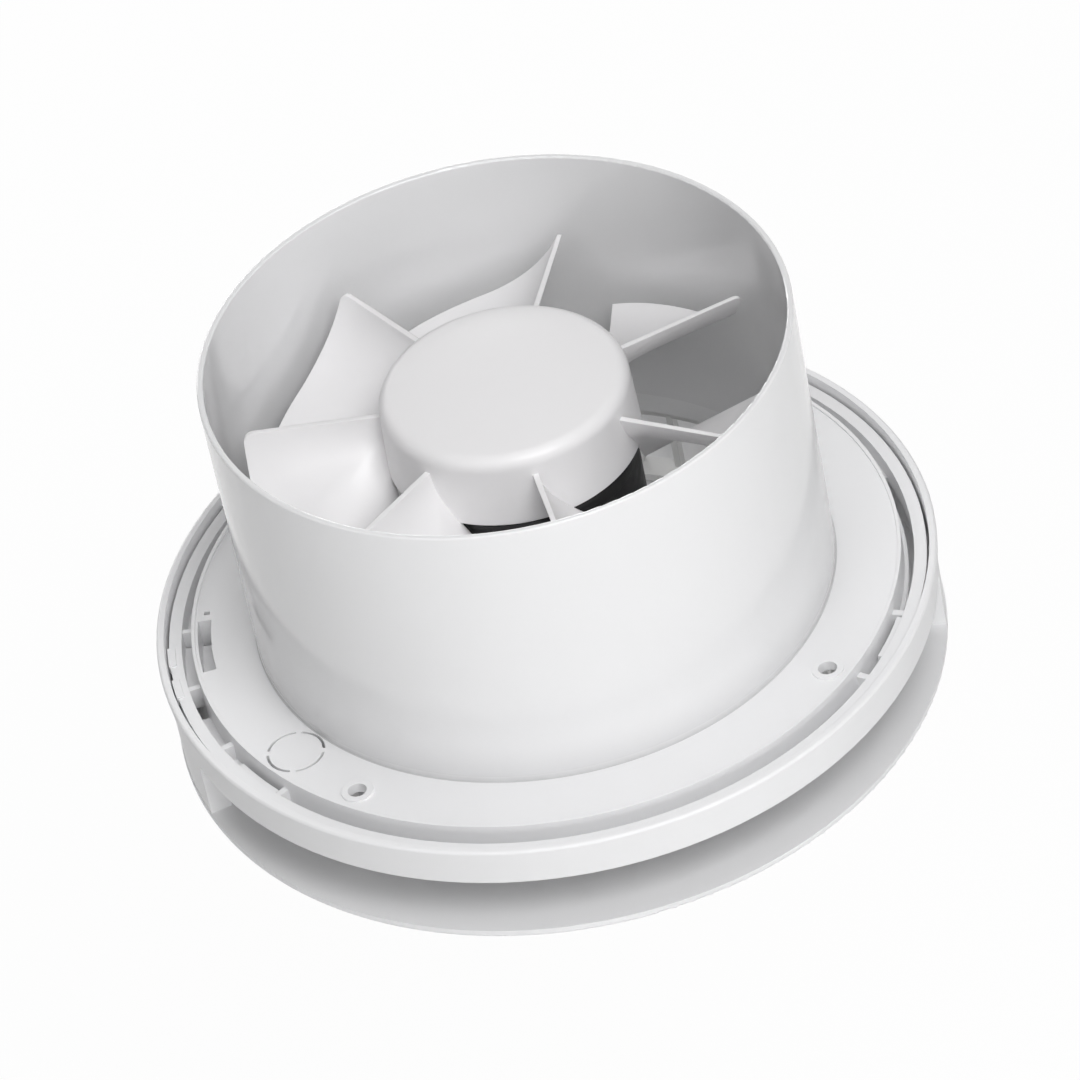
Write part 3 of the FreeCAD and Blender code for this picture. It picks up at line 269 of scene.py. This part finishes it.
materials = {name: plastic(name, look) for name, look in plasticLooks.items()}
materials.update({name: metal(name, look) for name, look in metalLooks.items()})
zoneHousing(materials["glossWhiteAbs"], plasticLooks["glossWhiteAbs"])
slotFinish = {
    "white_abs": "satinWhiteAbs", "cage_abs": "cageAbs", "impeller_plastic": "whitePolypropylene",
    "black_plastic": "glassFilledNylon", "lamination_steel": "siliconSteelSheet", "copper": "enamelledCopper",
    "bearing_steel": "bearingSteel", "zinc_steel": "zincPlatedSteel", "shaft_steel": "groundShaftSteel",
    "rubber": "blackRubber", "terminal_plastic": "greyPolyamide", "brass": "nickelledBrass",
    "brown_insulation": "brownPvc", "blue_insulation": "bluePvc",
}
print("materials made:", len(materials))

bodies = frame["record"]["behaviour"]["bodies"]
nodeBody = {node: body for body, nodes in bodies.items() for node in nodes}
nodeSlot = {entry["node"]: entry["material_slot"] for entry in frame["record"]["subparts"]}
nodeFinish = {node: slotFinish[slot] for node, slot in nodeSlot.items()}
nodeFinish["rear_housing"] = "glossWhiteAbs"    # its duct is polished, unlike the cover


def finishNode(node):
    target = frame["nodes"][node]
    if not target.data.materials:
        target.data.materials.append(None)
    for k in range(len(target.data.materials)):
        target.data.materials[k] = materials[nodeFinish[node]]


for node in frame["nodes"]:
    finishNode(node)


def newPiece(name, mesh, finish):
    mesh.materials.clear()
    mesh.materials.append(materials[finish])
    piece = bpy.data.objects.new(name, mesh)
    bpy.context.scene.collection.objects.link(piece)
    return piece


def settle(piece):
    # the evaluated shape becomes a plain mesh, with no modifier left
    bpy.context.view_layer.update()
    evaluated = piece.evaluated_get(bpy.context.evaluated_depsgraph_get())
    finished = bpy.data.meshes.new_from_object(evaluated)
    piece.modifiers.clear()
    old = piece.data
    piece.data = finished
    bpy.data.meshes.remove(old)


def standFor(piece, node):
    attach(piece, nodeBody[node])
    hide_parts(node)


def weigh(piece, degrees):
    # soft shading over curves, with flats kept flat
    piece.data.shade_smooth()
    piece.data.set_sharp_from_angle(angle=math.radians(degrees))
    keep = piece.modifiers.new("weights", "WEIGHTED_NORMAL")
    keep.keep_sharp = True
    keep.mode = "FACE_AREA"
    settle(piece)


def soften(piece, width, steps, degrees):
    edge = piece.modifiers.new("softEdge", "BEVEL")
    edge.width, edge.segments = width * mm, steps
    edge.limit_method, edge.angle_limit = "ANGLE", math.radians(degrees)
    edge.use_clamp_overlap = True
    settle(piece)


def finishMesh(shape, name):
    mesh = bpy.data.meshes.new(name)
    shape.to_mesh(mesh)
    shape.free()
    return mesh


# Mouldings and turned pieces: the solid's own faces, merged and shaded as one skin
smoothed = {
    "nodes": ("rear_housing", "front_cover", "motor_cage", "motor_shell", "motor_end_cap",
              "rotor_shaft", "hub_bush", "hub_spring_clip", "motor_lead_live", "motor_lead_neutral",
              "terminal_cover", "cable_clamp"),
    "mergeMm": 0.002, "sharpDegrees": 28,
}


def smoothCopy(node, look):
    skin = bmesh.new()
    skin.from_mesh(frame["nodes"][node].data)
    bmesh.ops.remove_doubles(skin, verts=skin.verts, dist=look["mergeMm"] * mm)
    bmesh.ops.dissolve_degenerate(skin, edges=skin.edges, dist=look["mergeMm"] * mm)
    skin.verts.index_update()
    corners = [v.co.copy() for v in skin.verts]
    faces = [[v.index for v in face.verts] for face in skin.faces]
    skin.free()
    mesh = bpy.data.meshes.new(node + ".skin")
    mesh.from_pydata(corners, [], faces)     # a fresh mesh, without the node's own normals
    piece = newPiece(node + ".skin", mesh, nodeFinish[node])
    weigh(piece, look["sharpDegrees"])
    standFor(piece, node)


for node in smoothed["nodes"]:
    smoothCopy(node, smoothed)
print("skins made:", len(smoothed["nodes"]))


def ringTree():
    # the piece that comes in, set round the Z axis
    tree = bpy.data.node_groups.new("ringAround", "GeometryNodeTree")
    face = tree.interface
    face.new_socket("Geometry", in_out="INPUT", socket_type="NodeSocketGeometry")
    keys = {"count": face.new_socket("Count", in_out="INPUT", socket_type="NodeSocketInt").identifier,
            "first": face.new_socket("First Angle", in_out="INPUT", socket_type="NodeSocketFloat").identifier,
            "finish": face.new_socket("Finish", in_out="INPUT", socket_type="NodeSocketMaterial").identifier}
    face.new_socket("Geometry", in_out="OUTPUT", socket_type="NodeSocketGeometry")
    given = addNode(tree, "NodeGroupInput").outputs
    spots = addNode(tree, "GeometryNodePoints", None, {"Count": given["Count"]})
    place = addNode(tree, "GeometryNodeInputIndex")
    step = addNode(tree, "ShaderNodeMath", {0: math.tau}, {1: given["Count"]}, operation="DIVIDE")
    turn = addNode(tree, "ShaderNodeMath", None,
                   {0: place.outputs[0], 1: step.outputs[0], 2: given["First Angle"]},
                   operation="MULTIPLY_ADD")
    spin = addNode(tree, "ShaderNodeCombineXYZ", None, {"Z": turn.outputs[0]})
    facing = addNode(tree, "FunctionNodeEulerToRotation", None, {0: spin.outputs[0]})
    copies = addNode(tree, "GeometryNodeInstanceOnPoints", None,
                     {"Points": spots.outputs[0], "Instance": given["Geometry"],
                      "Rotation": facing.outputs[0]})
    real = addNode(tree, "GeometryNodeRealizeInstances", None, {"Geometry": copies.outputs[0]})
    dressed = addNode(tree, "GeometryNodeSetMaterial", None,
                      {"Geometry": real.outputs[0], "Material": given["Finish"]})
    addNode(tree, "NodeGroupOutput", None, {"Geometry": dressed.outputs[0]})
    return tree, keys


ringAround, ringKeys = ringTree()


def ring(piece, count, firstDegrees, finish):
    maker = piece.modifiers.new("ring", "NODES")
    maker.node_group = ringAround
    maker[ringKeys["count"]] = count
    maker[ringKeys["first"]] = math.radians(firstDegrees)
    maker[ringKeys["finish"]] = materials[finish]
    settle(piece)


def spotTree():
    # one piece on each point that comes in
    tree = bpy.data.node_groups.new("setOnSpots", "GeometryNodeTree")
    face = tree.interface
    face.new_socket("Geometry", in_out="INPUT", socket_type="NodeSocketGeometry")
    keys = {"piece": face.new_socket("Piece", in_out="INPUT", socket_type="NodeSocketObject").identifier,
            "finish": face.new_socket("Finish", in_out="INPUT", socket_type="NodeSocketMaterial").identifier}
    face.new_socket("Geometry", in_out="OUTPUT", socket_type="NodeSocketGeometry")
    given = addNode(tree, "NodeGroupInput").outputs
    shape = addNode(tree, "GeometryNodeObjectInfo", None, {"Object": given["Piece"]})
    spots = addNode(tree, "GeometryNodeMeshToPoints", None, {"Mesh": given["Geometry"]})
    copies = addNode(tree, "GeometryNodeInstanceOnPoints", None,
                     {"Points": spots.outputs[0], "Instance": shape.outputs["Geometry"]})
    real = addNode(tree, "GeometryNodeRealizeInstances", None, {"Geometry": copies.outputs[0]})
    dressed = addNode(tree, "GeometryNodeSetMaterial", None,
                      {"Geometry": real.outputs[0], "Material": given["Finish"]})
    addNode(tree, "NodeGroupOutput", None, {"Geometry": dressed.outputs[0]})
    return tree, keys


setOnSpots, spotKeys = spotTree()


def turnedMesh(name, profile, steps):
    # a profile of radius and height in mm, from axis to axis, spun round Z
    shape = bmesh.new()
    rings = []
    for radius, height in profile:
        if not radius:
            rings.append([shape.verts.new((0, 0, height * mm))])
            continue
        rings.append([shape.verts.new((radius * mm * math.cos(math.tau * k / steps),
                                       radius * mm * math.sin(math.tau * k / steps), height * mm))
                      for k in range(steps)])
    for low, high in zip(rings, rings[1:]):
        for k in range(steps):
            after = (k + 1) % steps
            corners = [low[k % len(low)], low[after % len(low)], high[after % len(high)], high[k % len(high)]]
            shape.faces.new(list(dict.fromkeys(corners)))
    bmesh.ops.recalc_face_normals(shape, faces=shape.faces)
    return finishMesh(shape, name)


def arcPoints(start, end, radius, steps):
    # points from start to end round a centre on the left of the way
    start, end = Vector(start), Vector(end)
    way = end - start
    aside = Vector((-way.y, way.x)).normalized()
    centre = (start + end) / 2 + aside * math.sqrt(radius ** 2 - (way.length / 2) ** 2)
    first = math.atan2(start.y - centre.y, start.x - centre.x)
    turn = (math.atan2(end.y - centre.y, end.x - centre.x) - first) % math.tau
    shares = [(k / steps) ** 2 for k in range(steps + 1)]    # close at the start, where a corner is round
    angles = [first + turn * s for s in shares]
    return [centre + radius * Vector((math.cos(angle), math.sin(angle))) for angle in angles]


# Fan wheel: seven twisted blades on a hollow hub, thin at the tip, with the mould's soft edges
fanWheel = {
    "hubRadius": 32.0, "hubDraft": 0.6, "hubFoot": 45.5, "hubShoulder": 61.6, "edgeRound": 4.0, "crown": 2.5,
    "hubWall": 1.8, "footRound": 0.4, "bossRadius": 6.5, "bossFoot": 47.5, "bushRadius": 4.02,
    "bushTop": 59.5, "hubSteps": 160, "edgeSteps": 8, "crownSteps": 6, "hubSharp": 35,
    "bladeCount": 7, "firstBlade": 35.05, "bladeTop": 59.5, "bladeTip": 66.0,
    "bladeStart": 30.9, "bladeClear": 31.4,    # inside the hub's wall, and past the motor below the hub
    "clearAbove": 1.0,                         # over the hub's foot, where the second of these begins
    "root": {"plane": 26.0, "thick": 1.6, "sides": (-9.6, -9.3, -7.4), "falls": (0.0, 6.6, 12.0),
             "bend": 60.0, "longer": 9.0},
    "tip": {"plane": 68.0, "thick": 1.2, "sides": (-25.1, 0.5, 28.1), "falls": (0.0, 19.2, 24.0),
            "bend": 35.2, "longer": 3.0},
    "arcSteps": 26, "footSteps": 12, "alongSteps": 16, "cornerRound": 2.6,
    "edgeSoft": 0.42, "edgeSoftSteps": 3, "bladeSharp": 60,
    "ribWall": 1.4, "ribInner": 4.8, "ribOuter": 30.4, "ribFoot": 50.0, "ribTop": 60.7,
    "ribSoft": 0.2, "ribSoftSteps": 2,
    "softFrom": 40,                            # degrees between faces, from which an edge is rounded
}


def hubProfile(look):
    rounding, foot, soft = look["edgeRound"], look["hubFoot"], look["footRound"]
    inner = look["hubRadius"] - look["hubWall"]
    top = look["hubShoulder"] + rounding
    flat = look["hubRadius"] - look["hubDraft"] - rounding
    under = top - look["hubWall"]
    points = [(0, top + look["crown"])]
    for k in range(1, look["crownSteps"]):
        share = k / look["crownSteps"]
        points.append((flat * share, top + look["crown"] * (1 - share ** 2)))
    for k in range(look["edgeSteps"] + 1):
        bend = math.pi / 2 * k / look["edgeSteps"]
        points.append((flat + rounding * math.sin(bend), look["hubShoulder"] + rounding * math.cos(bend)))
    points += [(look["hubRadius"], foot + soft), (look["hubRadius"] - soft, foot),
               (inner + soft, foot), (inner, foot + soft),
               (inner - look["hubDraft"], look["hubShoulder"]), (flat - look["hubWall"], under),
               (look["bossRadius"], under), (look["bossRadius"], look["bossFoot"] + soft),
               (look["bossRadius"] - soft, look["bossFoot"]), (look["bushRadius"], look["bossFoot"]),
               (look["bushRadius"], look["bushTop"]), (0, look["bushTop"])]
    return points


def bladeSide(section, look, side):
    # upper (1) or lower (-1) face of a section, from the outlet edge to the foot, as side and height
    top, knee, foot = [Vector((aside, look["bladeTop"] - fall))
                       for aside, fall in zip(section["sides"], section["falls"])]
    half = section["thick"] / 2
    bend = arcPoints((top.x + side * half, top.y), (knee.x, knee.y + side * half),
                     section["bend"] - side * half, look["arcSteps"])
    last = foot + (foot - knee).normalized() * section["longer"] + Vector((0, side * half))
    return bend + [bend[-1].lerp(last, k / look["footSteps"]) for k in range(1, look["footSteps"] + 1)]


def shareAt(radius, near, far, root, tip):
    # how far along the ruled line the wheel's radius is reached, from a quadratic in the share
    run, slide = tip["plane"] - root["plane"], far.x - near.x
    a = run ** 2 + slide ** 2
    b = 2 * (root["plane"] * run + near.x * slide)
    c = root["plane"] ** 2 + near.x ** 2 - radius ** 2
    return (-b + math.sqrt(b ** 2 - 4 * a * c)) / (2 * a)


def bladeMesh(look):
    root, tip = look["root"], look["tip"]
    clearFrom = look["hubFoot"] + look["clearAbove"]
    shape = bmesh.new()
    grids = []
    for side in (1, -1):
        nearLine, farLine = bladeSide(root, look, side), bladeSide(tip, look, side)
        grid, edgeRun = [], 0.0
        for k, (near, far) in enumerate(zip(nearLine, farLine)):
            edgeRun += (far - farLine[k - 1]).length if k else 0.0
            lack = max(look["cornerRound"] - edgeRun, 0.0)
            drop = look["cornerRound"] - math.sqrt(look["cornerRound"] ** 2 - lack ** 2)
            start = look["bladeStart"] if near.y > clearFrom else look["bladeClear"]
            first = shareAt(start, near, far, root, tip)
            last = shareAt(look["bladeTip"] - drop, near, far, root, tip)
            row = []
            for j in range(look["alongSteps"] + 1):
                share = first + (last - first) * j / look["alongSteps"]
                spot = near.lerp(far, share)
                row.append(shape.verts.new((mm * (root["plane"] + (tip["plane"] - root["plane"]) * share),
                                            mm * spot.x, mm * spot.y)))
            grid.append(row)
        grids.append(grid)
    upper, lower = grids
    for grid in grids:
        for row, after in zip(grid, grid[1:]):
            for j in range(look["alongSteps"]):
                shape.faces.new((row[j], row[j + 1], after[j + 1], after[j]))
    for k in (0, len(upper) - 1):
        for j in range(look["alongSteps"]):
            shape.faces.new((upper[k][j], upper[k][j + 1], lower[k][j + 1], lower[k][j]))
    for j in (0, look["alongSteps"]):
        for k in range(len(upper) - 1):
            shape.faces.new((upper[k][j], upper[k + 1][j], lower[k + 1][j], lower[k][j]))
    bmesh.ops.recalc_face_normals(shape, faces=shape.faces)
    return finishMesh(shape, "fanBlades")


def blockMesh(name, low, high):
    shape = bmesh.new()
    bmesh.ops.create_cube(shape, size=1.0)
    for v in shape.verts:
        v.co = Vector([mm * (a + (b - a) * (c + 0.5)) for a, b, c in zip(low, high, v.co)])
    return finishMesh(shape, name)


def makeWheel(look):
    finish = nodeFinish["impeller"]
    hub = newPiece("fanHub", turnedMesh("fanHub", hubProfile(look), look["hubSteps"]), finish)
    weigh(hub, look["hubSharp"])
    blades = newPiece("fanBlades", bladeMesh(look), finish)
    soften(blades, look["edgeSoft"], look["edgeSoftSteps"], look["softFrom"])
    ring(blades, look["bladeCount"], look["firstBlade"], finish)
    weigh(blades, look["bladeSharp"])
    half = look["ribWall"] / 2
    ribs = newPiece("fanHubRibs", blockMesh("fanHubRibs", (look["ribInner"], -half, look["ribFoot"]),
                                            (look["ribOuter"], half, look["ribTop"])), finish)
    soften(ribs, look["ribSoft"], look["ribSoftSteps"], look["softFrom"])
    ring(ribs, look["bladeCount"], look["firstBlade"], finish)
    for piece in (hub, blades, ribs):
        standFor(piece, "impeller")


makeWheel(fanWheel)
print("fan wheel made")

# Screws: pan heads with a cross recess, driven from the room side
screwSets = {
    "cageScrews": {"node": "cage_screws", "ring": 83.0, "first": 20.0, "count": 4, "seat": -7.8,
                   "head": 2.8, "headHigh": 1.8, "shank": 1.3, "bite": 5.2},
    "trayScrew": {"node": "terminal_cover_screw", "spots": ((-86.0, 0.0),), "seat": -22.5,
                  "head": 2.8, "headHigh": 1.8, "shank": 1.3, "bite": 10.2},
    "clampScrews": {"node": "cable_clamp_screws", "spots": ((-81.8, 5.2), (-81.8, 14.6)), "seat": -12.2,
                    "head": 2.1, "headHigh": 1.4, "shank": 1.1, "bite": 6.4},
}

# Every screw's shape, in shares of its head's radius and height
screwShape = {
    "dome": ((0, 1.0), (0.55, 0.98), (0.80, 0.86), (0.94, 0.58), (1.0, 0.20), (1.0, 0.0)),
    "recessLong": 1.25, "recessWide": 0.34, "recessDeep": 0.62, "recessTaper": 0.55, "cutterTop": 1.2,
    "tipMm": 0.3, "steps": 40, "sharpDegrees": 35,
}


def screwBlank(name, look, finish):
    wide, high, shank, bite = look["head"], look["headHigh"], look["shank"], look["bite"]
    profile = [(out * wide, -up * high) for out, up in screwShape["dome"]]
    profile += [(shank, 0), (shank, bite - shank), (screwShape["tipMm"], bite), (0, bite)]
    blank = newPiece(name + "Blank", turnedMesh(name, profile, screwShape["steps"]), finish)
    shape = bmesh.new()
    arm, half = screwShape["recessLong"] * wide / 2, screwShape["recessWide"] * wide / 2
    mouth, floor = -screwShape["cutterTop"] * high, -high + screwShape["recessDeep"] * high
    for x, y in ((arm, half), (half, arm)):
        for v in bmesh.ops.create_cube(shape, size=2.0)["verts"]:
            atMouth = v.co.z < 0
            taper = 1.0 if atMouth else screwShape["recessTaper"]
            v.co = Vector((v.co.x * x * taper, v.co.y * y * taper, mouth if atMouth else floor)) * mm
    cutter = newPiece(name + "Cutter", finishMesh(shape, name + "Cutter"), finish)
    cut = blank.modifiers.new("recess", "BOOLEAN")
    cut.operation, cut.solver, cut.object, cut.use_self = "DIFFERENCE", "EXACT", cutter, True
    settle(blank)
    bpy.data.objects.remove(cutter)
    return blank


def screwSpots(look):
    if "spots" in look:
        return look["spots"]
    turns = [math.radians(look["first"]) + math.tau * k / look["count"] for k in range(look["count"])]
    return [(look["ring"] * math.cos(turn), look["ring"] * math.sin(turn)) for turn in turns]


def setScrews(name, look):
    finish = nodeFinish[look["node"]]
    mesh = bpy.data.meshes.new(name)
    mesh.from_pydata([(x * mm, y * mm, look["seat"] * mm) for x, y in screwSpots(look)], [], [])
    blank = screwBlank(name, look, finish)
    piece = newPiece(name, mesh, finish)
    maker = piece.modifiers.new("spots", "NODES")
    maker.node_group = setOnSpots
    maker[spotKeys["piece"]] = blank
    maker[spotKeys["finish"]] = materials[finish]
    settle(piece)
    bpy.data.objects.remove(blank)
    weigh(piece, screwShape["sharpDegrees"])
    standFor(piece, look["node"])


for name, look in screwSets.items():
    setScrews(name, look)
print("screws set:", len(screwSets))

# Clip tongues: a block beside the ring in each clip bay of the moat, standing on its bed
clipTongue = {
    "count": 3, "from": -37.5, "to": -28.3, "inner": 91.8, "outer": 93.7, "foot": -8.1, "top": -3.6,
    "steps": 8, "edgeSoft": 0.25, "edgeSoftSteps": 2, "softFrom": 40, "sharpDegrees": 40,
    "carrier": "rear_housing",
}


def wedgeMesh(name, look):
    # a curved block between two radii, two heights and two angles
    shape = bmesh.new()
    corners = [(look["inner"], look["foot"]), (look["outer"], look["foot"]),
               (look["outer"], look["top"]), (look["inner"], look["top"])]
    loops = []
    for k in range(look["steps"] + 1):
        turn = math.radians(look["from"] + (look["to"] - look["from"]) * k / look["steps"])
        loops.append([shape.verts.new((r * mm * math.cos(turn), r * mm * math.sin(turn), z * mm))
                      for r, z in corners])
    for near, far in zip(loops, loops[1:]):
        for k in range(len(corners)):
            shape.faces.new((near[k], near[k - 1], far[k - 1], far[k]))
    shape.faces.new(loops[0])
    shape.faces.new(loops[-1])
    bmesh.ops.recalc_face_normals(shape, faces=shape.faces)
    return finishMesh(shape, name)


def setTongues(look):
    finish = nodeFinish[look["carrier"]]
    tongues = newPiece("clipTongues", wedgeMesh("clipTongues", look), finish)
    soften(tongues, look["edgeSoft"], look["edgeSoftSteps"], look["softFrom"])
    ring(tongues, look["count"], 0, finish)
    weigh(tongues, look["sharpDegrees"])
    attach(tongues, nodeBody[look["carrier"]])


setTongues(clipTongue)
print("clip tongues set:", clipTongue["count"])


def seenShare(tree):
    # 1 where the eye, a gloss or a glass looks, 0 where the surface only lights others
    path = addNode(tree, "ShaderNodeLightPath").outputs
    direct = addNode(tree, "ShaderNodeMath", None, {0: path["Is Camera Ray"], 1: path["Is Glossy Ray"]},
                     operation="MAXIMUM")
    seen = addNode(tree, "ShaderNodeMath", None, {0: direct.outputs[0], 1: path["Is Transmission Ray"]},
                   operation="MAXIMUM")
    return seen.outputs[0]


# Stage: a white floor well below the fan, open from below to show the cover's face
stageLook = {"floorHalf": 15.0, "floorDrop": 0.30, "floorColour": "#f4f4f4", "floorLift": 0.96}


def makeStage(look):
    half, low = look["floorHalf"], -look["floorDrop"]
    mesh = bpy.data.meshes.new("studioFloor")
    corners = [(-half, -half, low), (half, -half, low), (half, half, low), (-half, half, low)]
    mesh.from_pydata(corners, [], [(0, 1, 2, 3)])
    material = bpy.data.materials.new("paintedFloor")   # matt white paint, lifted to white where it is seen
    material.use_nodes = True
    tree = material.node_tree
    tree.nodes.clear()
    share = addNode(tree, "ShaderNodeMath", {1: look["floorLift"]}, {0: seenShare(tree)},
                    operation="MULTIPLY")
    paint = addNode(tree, "ShaderNodeBsdfDiffuse", {"Color": linear(look["floorColour"])})
    white = addNode(tree, "ShaderNodeEmission", {"Strength": 1.0})
    mixed = addNode(tree, "ShaderNodeMixShader", None,
                    {0: share.outputs[0], 1: paint.outputs[0], 2: white.outputs[0]})
    under = addNode(tree, "ShaderNodeNewGeometry").outputs["Backfacing"]
    clear = addNode(tree, "ShaderNodeBsdfTransparent")
    oneSided = addNode(tree, "ShaderNodeMixShader", None,
                       {0: under, 1: mixed.outputs[0], 2: clear.outputs[0]})
    addNode(tree, "ShaderNodeOutputMaterial", None, {"Surface": oneSided.outputs[0]})
    floor = bpy.data.objects.new("studioFloor", mesh)
    mesh.materials.append(material)
    bpy.context.scene.collection.objects.link(floor)


makeStage(stageLook)

# World: a room that is a little brighter on its right, and white where it is seen
worldLook = {"ambient": 0.12, "lean": 0.03, "leanTo": (0.95, -0.30, 0.0), "ambientColour": "#ffffff",
             "seenColour": "#ffffff", "seenStrength": 1.0}


def lightWorld(look):
    world = bpy.data.worlds.new("studio")
    bpy.context.scene.world = world
    world.use_nodes = True
    tree = world.node_tree
    tree.nodes.clear()
    way = addNode(tree, "ShaderNodeTexCoord").outputs["Generated"]
    side = addNode(tree, "ShaderNodeVectorMath", {1: look["leanTo"]}, {0: way}, operation="DOT_PRODUCT")
    level = addNode(tree, "ShaderNodeMapRange",
                    {"From Min": -1.0, "From Max": 1.0, "To Min": look["ambient"] - look["lean"],
                     "To Max": look["ambient"] + look["lean"]}, {"Value": side.outputs["Value"]})
    fill = addNode(tree, "ShaderNodeBackground", {"Color": linear(look["ambientColour"])},
                   {"Strength": level.outputs["Result"]})
    white = addNode(tree, "ShaderNodeBackground",
                    {"Color": linear(look["seenColour"]), "Strength": look["seenStrength"]})
    mixed = addNode(tree, "ShaderNodeMixShader", None,
                    {0: seenShare(tree), 1: fill.outputs[0], 2: white.outputs[0]})
    addNode(tree, "ShaderNodeOutputWorld", None, {"Surface": mixed.outputs[0]})


lightWorld(worldLook)

# Soft lamps round the fan, all turned to the foot of its duct
lampAim = (0, 0, 0.02)
softboxes = {
    "keyBox": {"place": (0.33, -1.12, 1.50), "size": (0.9, 0.9), "watts": 18.0},
    "frontBox": {"place": (0.25, -1.95, 0.22), "size": (1.4, 0.6), "watts": 8.9},
    "sideBox": {"place": (1.25, -1.35, 0.85), "size": (0.9, 0.9), "watts": 2.4},
    "leftBox": {"place": (-0.80, -1.20, 1.30), "size": (0.9, 0.9), "watts": 4.4},
    "topBox": {"place": (0.15, -0.05, 1.95), "size": (0.9, 0.9), "watts": 5.2},
    "backBox": {"place": (-0.30, 1.90, 0.36), "size": (1.6, 0.6), "watts": 19.0},
}


def hangLamp(name, look):
    lamp = bpy.data.objects.new(name, bpy.data.lights.new(name, "AREA"))
    lamp.data.shape = "RECTANGLE"
    lamp.data.size, lamp.data.size_y = look["size"]
    lamp.data.energy = look["watts"]
    lamp.location = look["place"]
    way = Vector(lampAim) - Vector(look["place"])
    lamp.rotation_euler = way.to_track_quat("-Z", "Y").to_euler()
    bpy.context.scene.collection.objects.link(lamp)


for name, look in softboxes.items():
    hangLamp(name, look)
bpy.context.scene.view_settings.view_transform = "Standard"
print("stage and lamps ready")
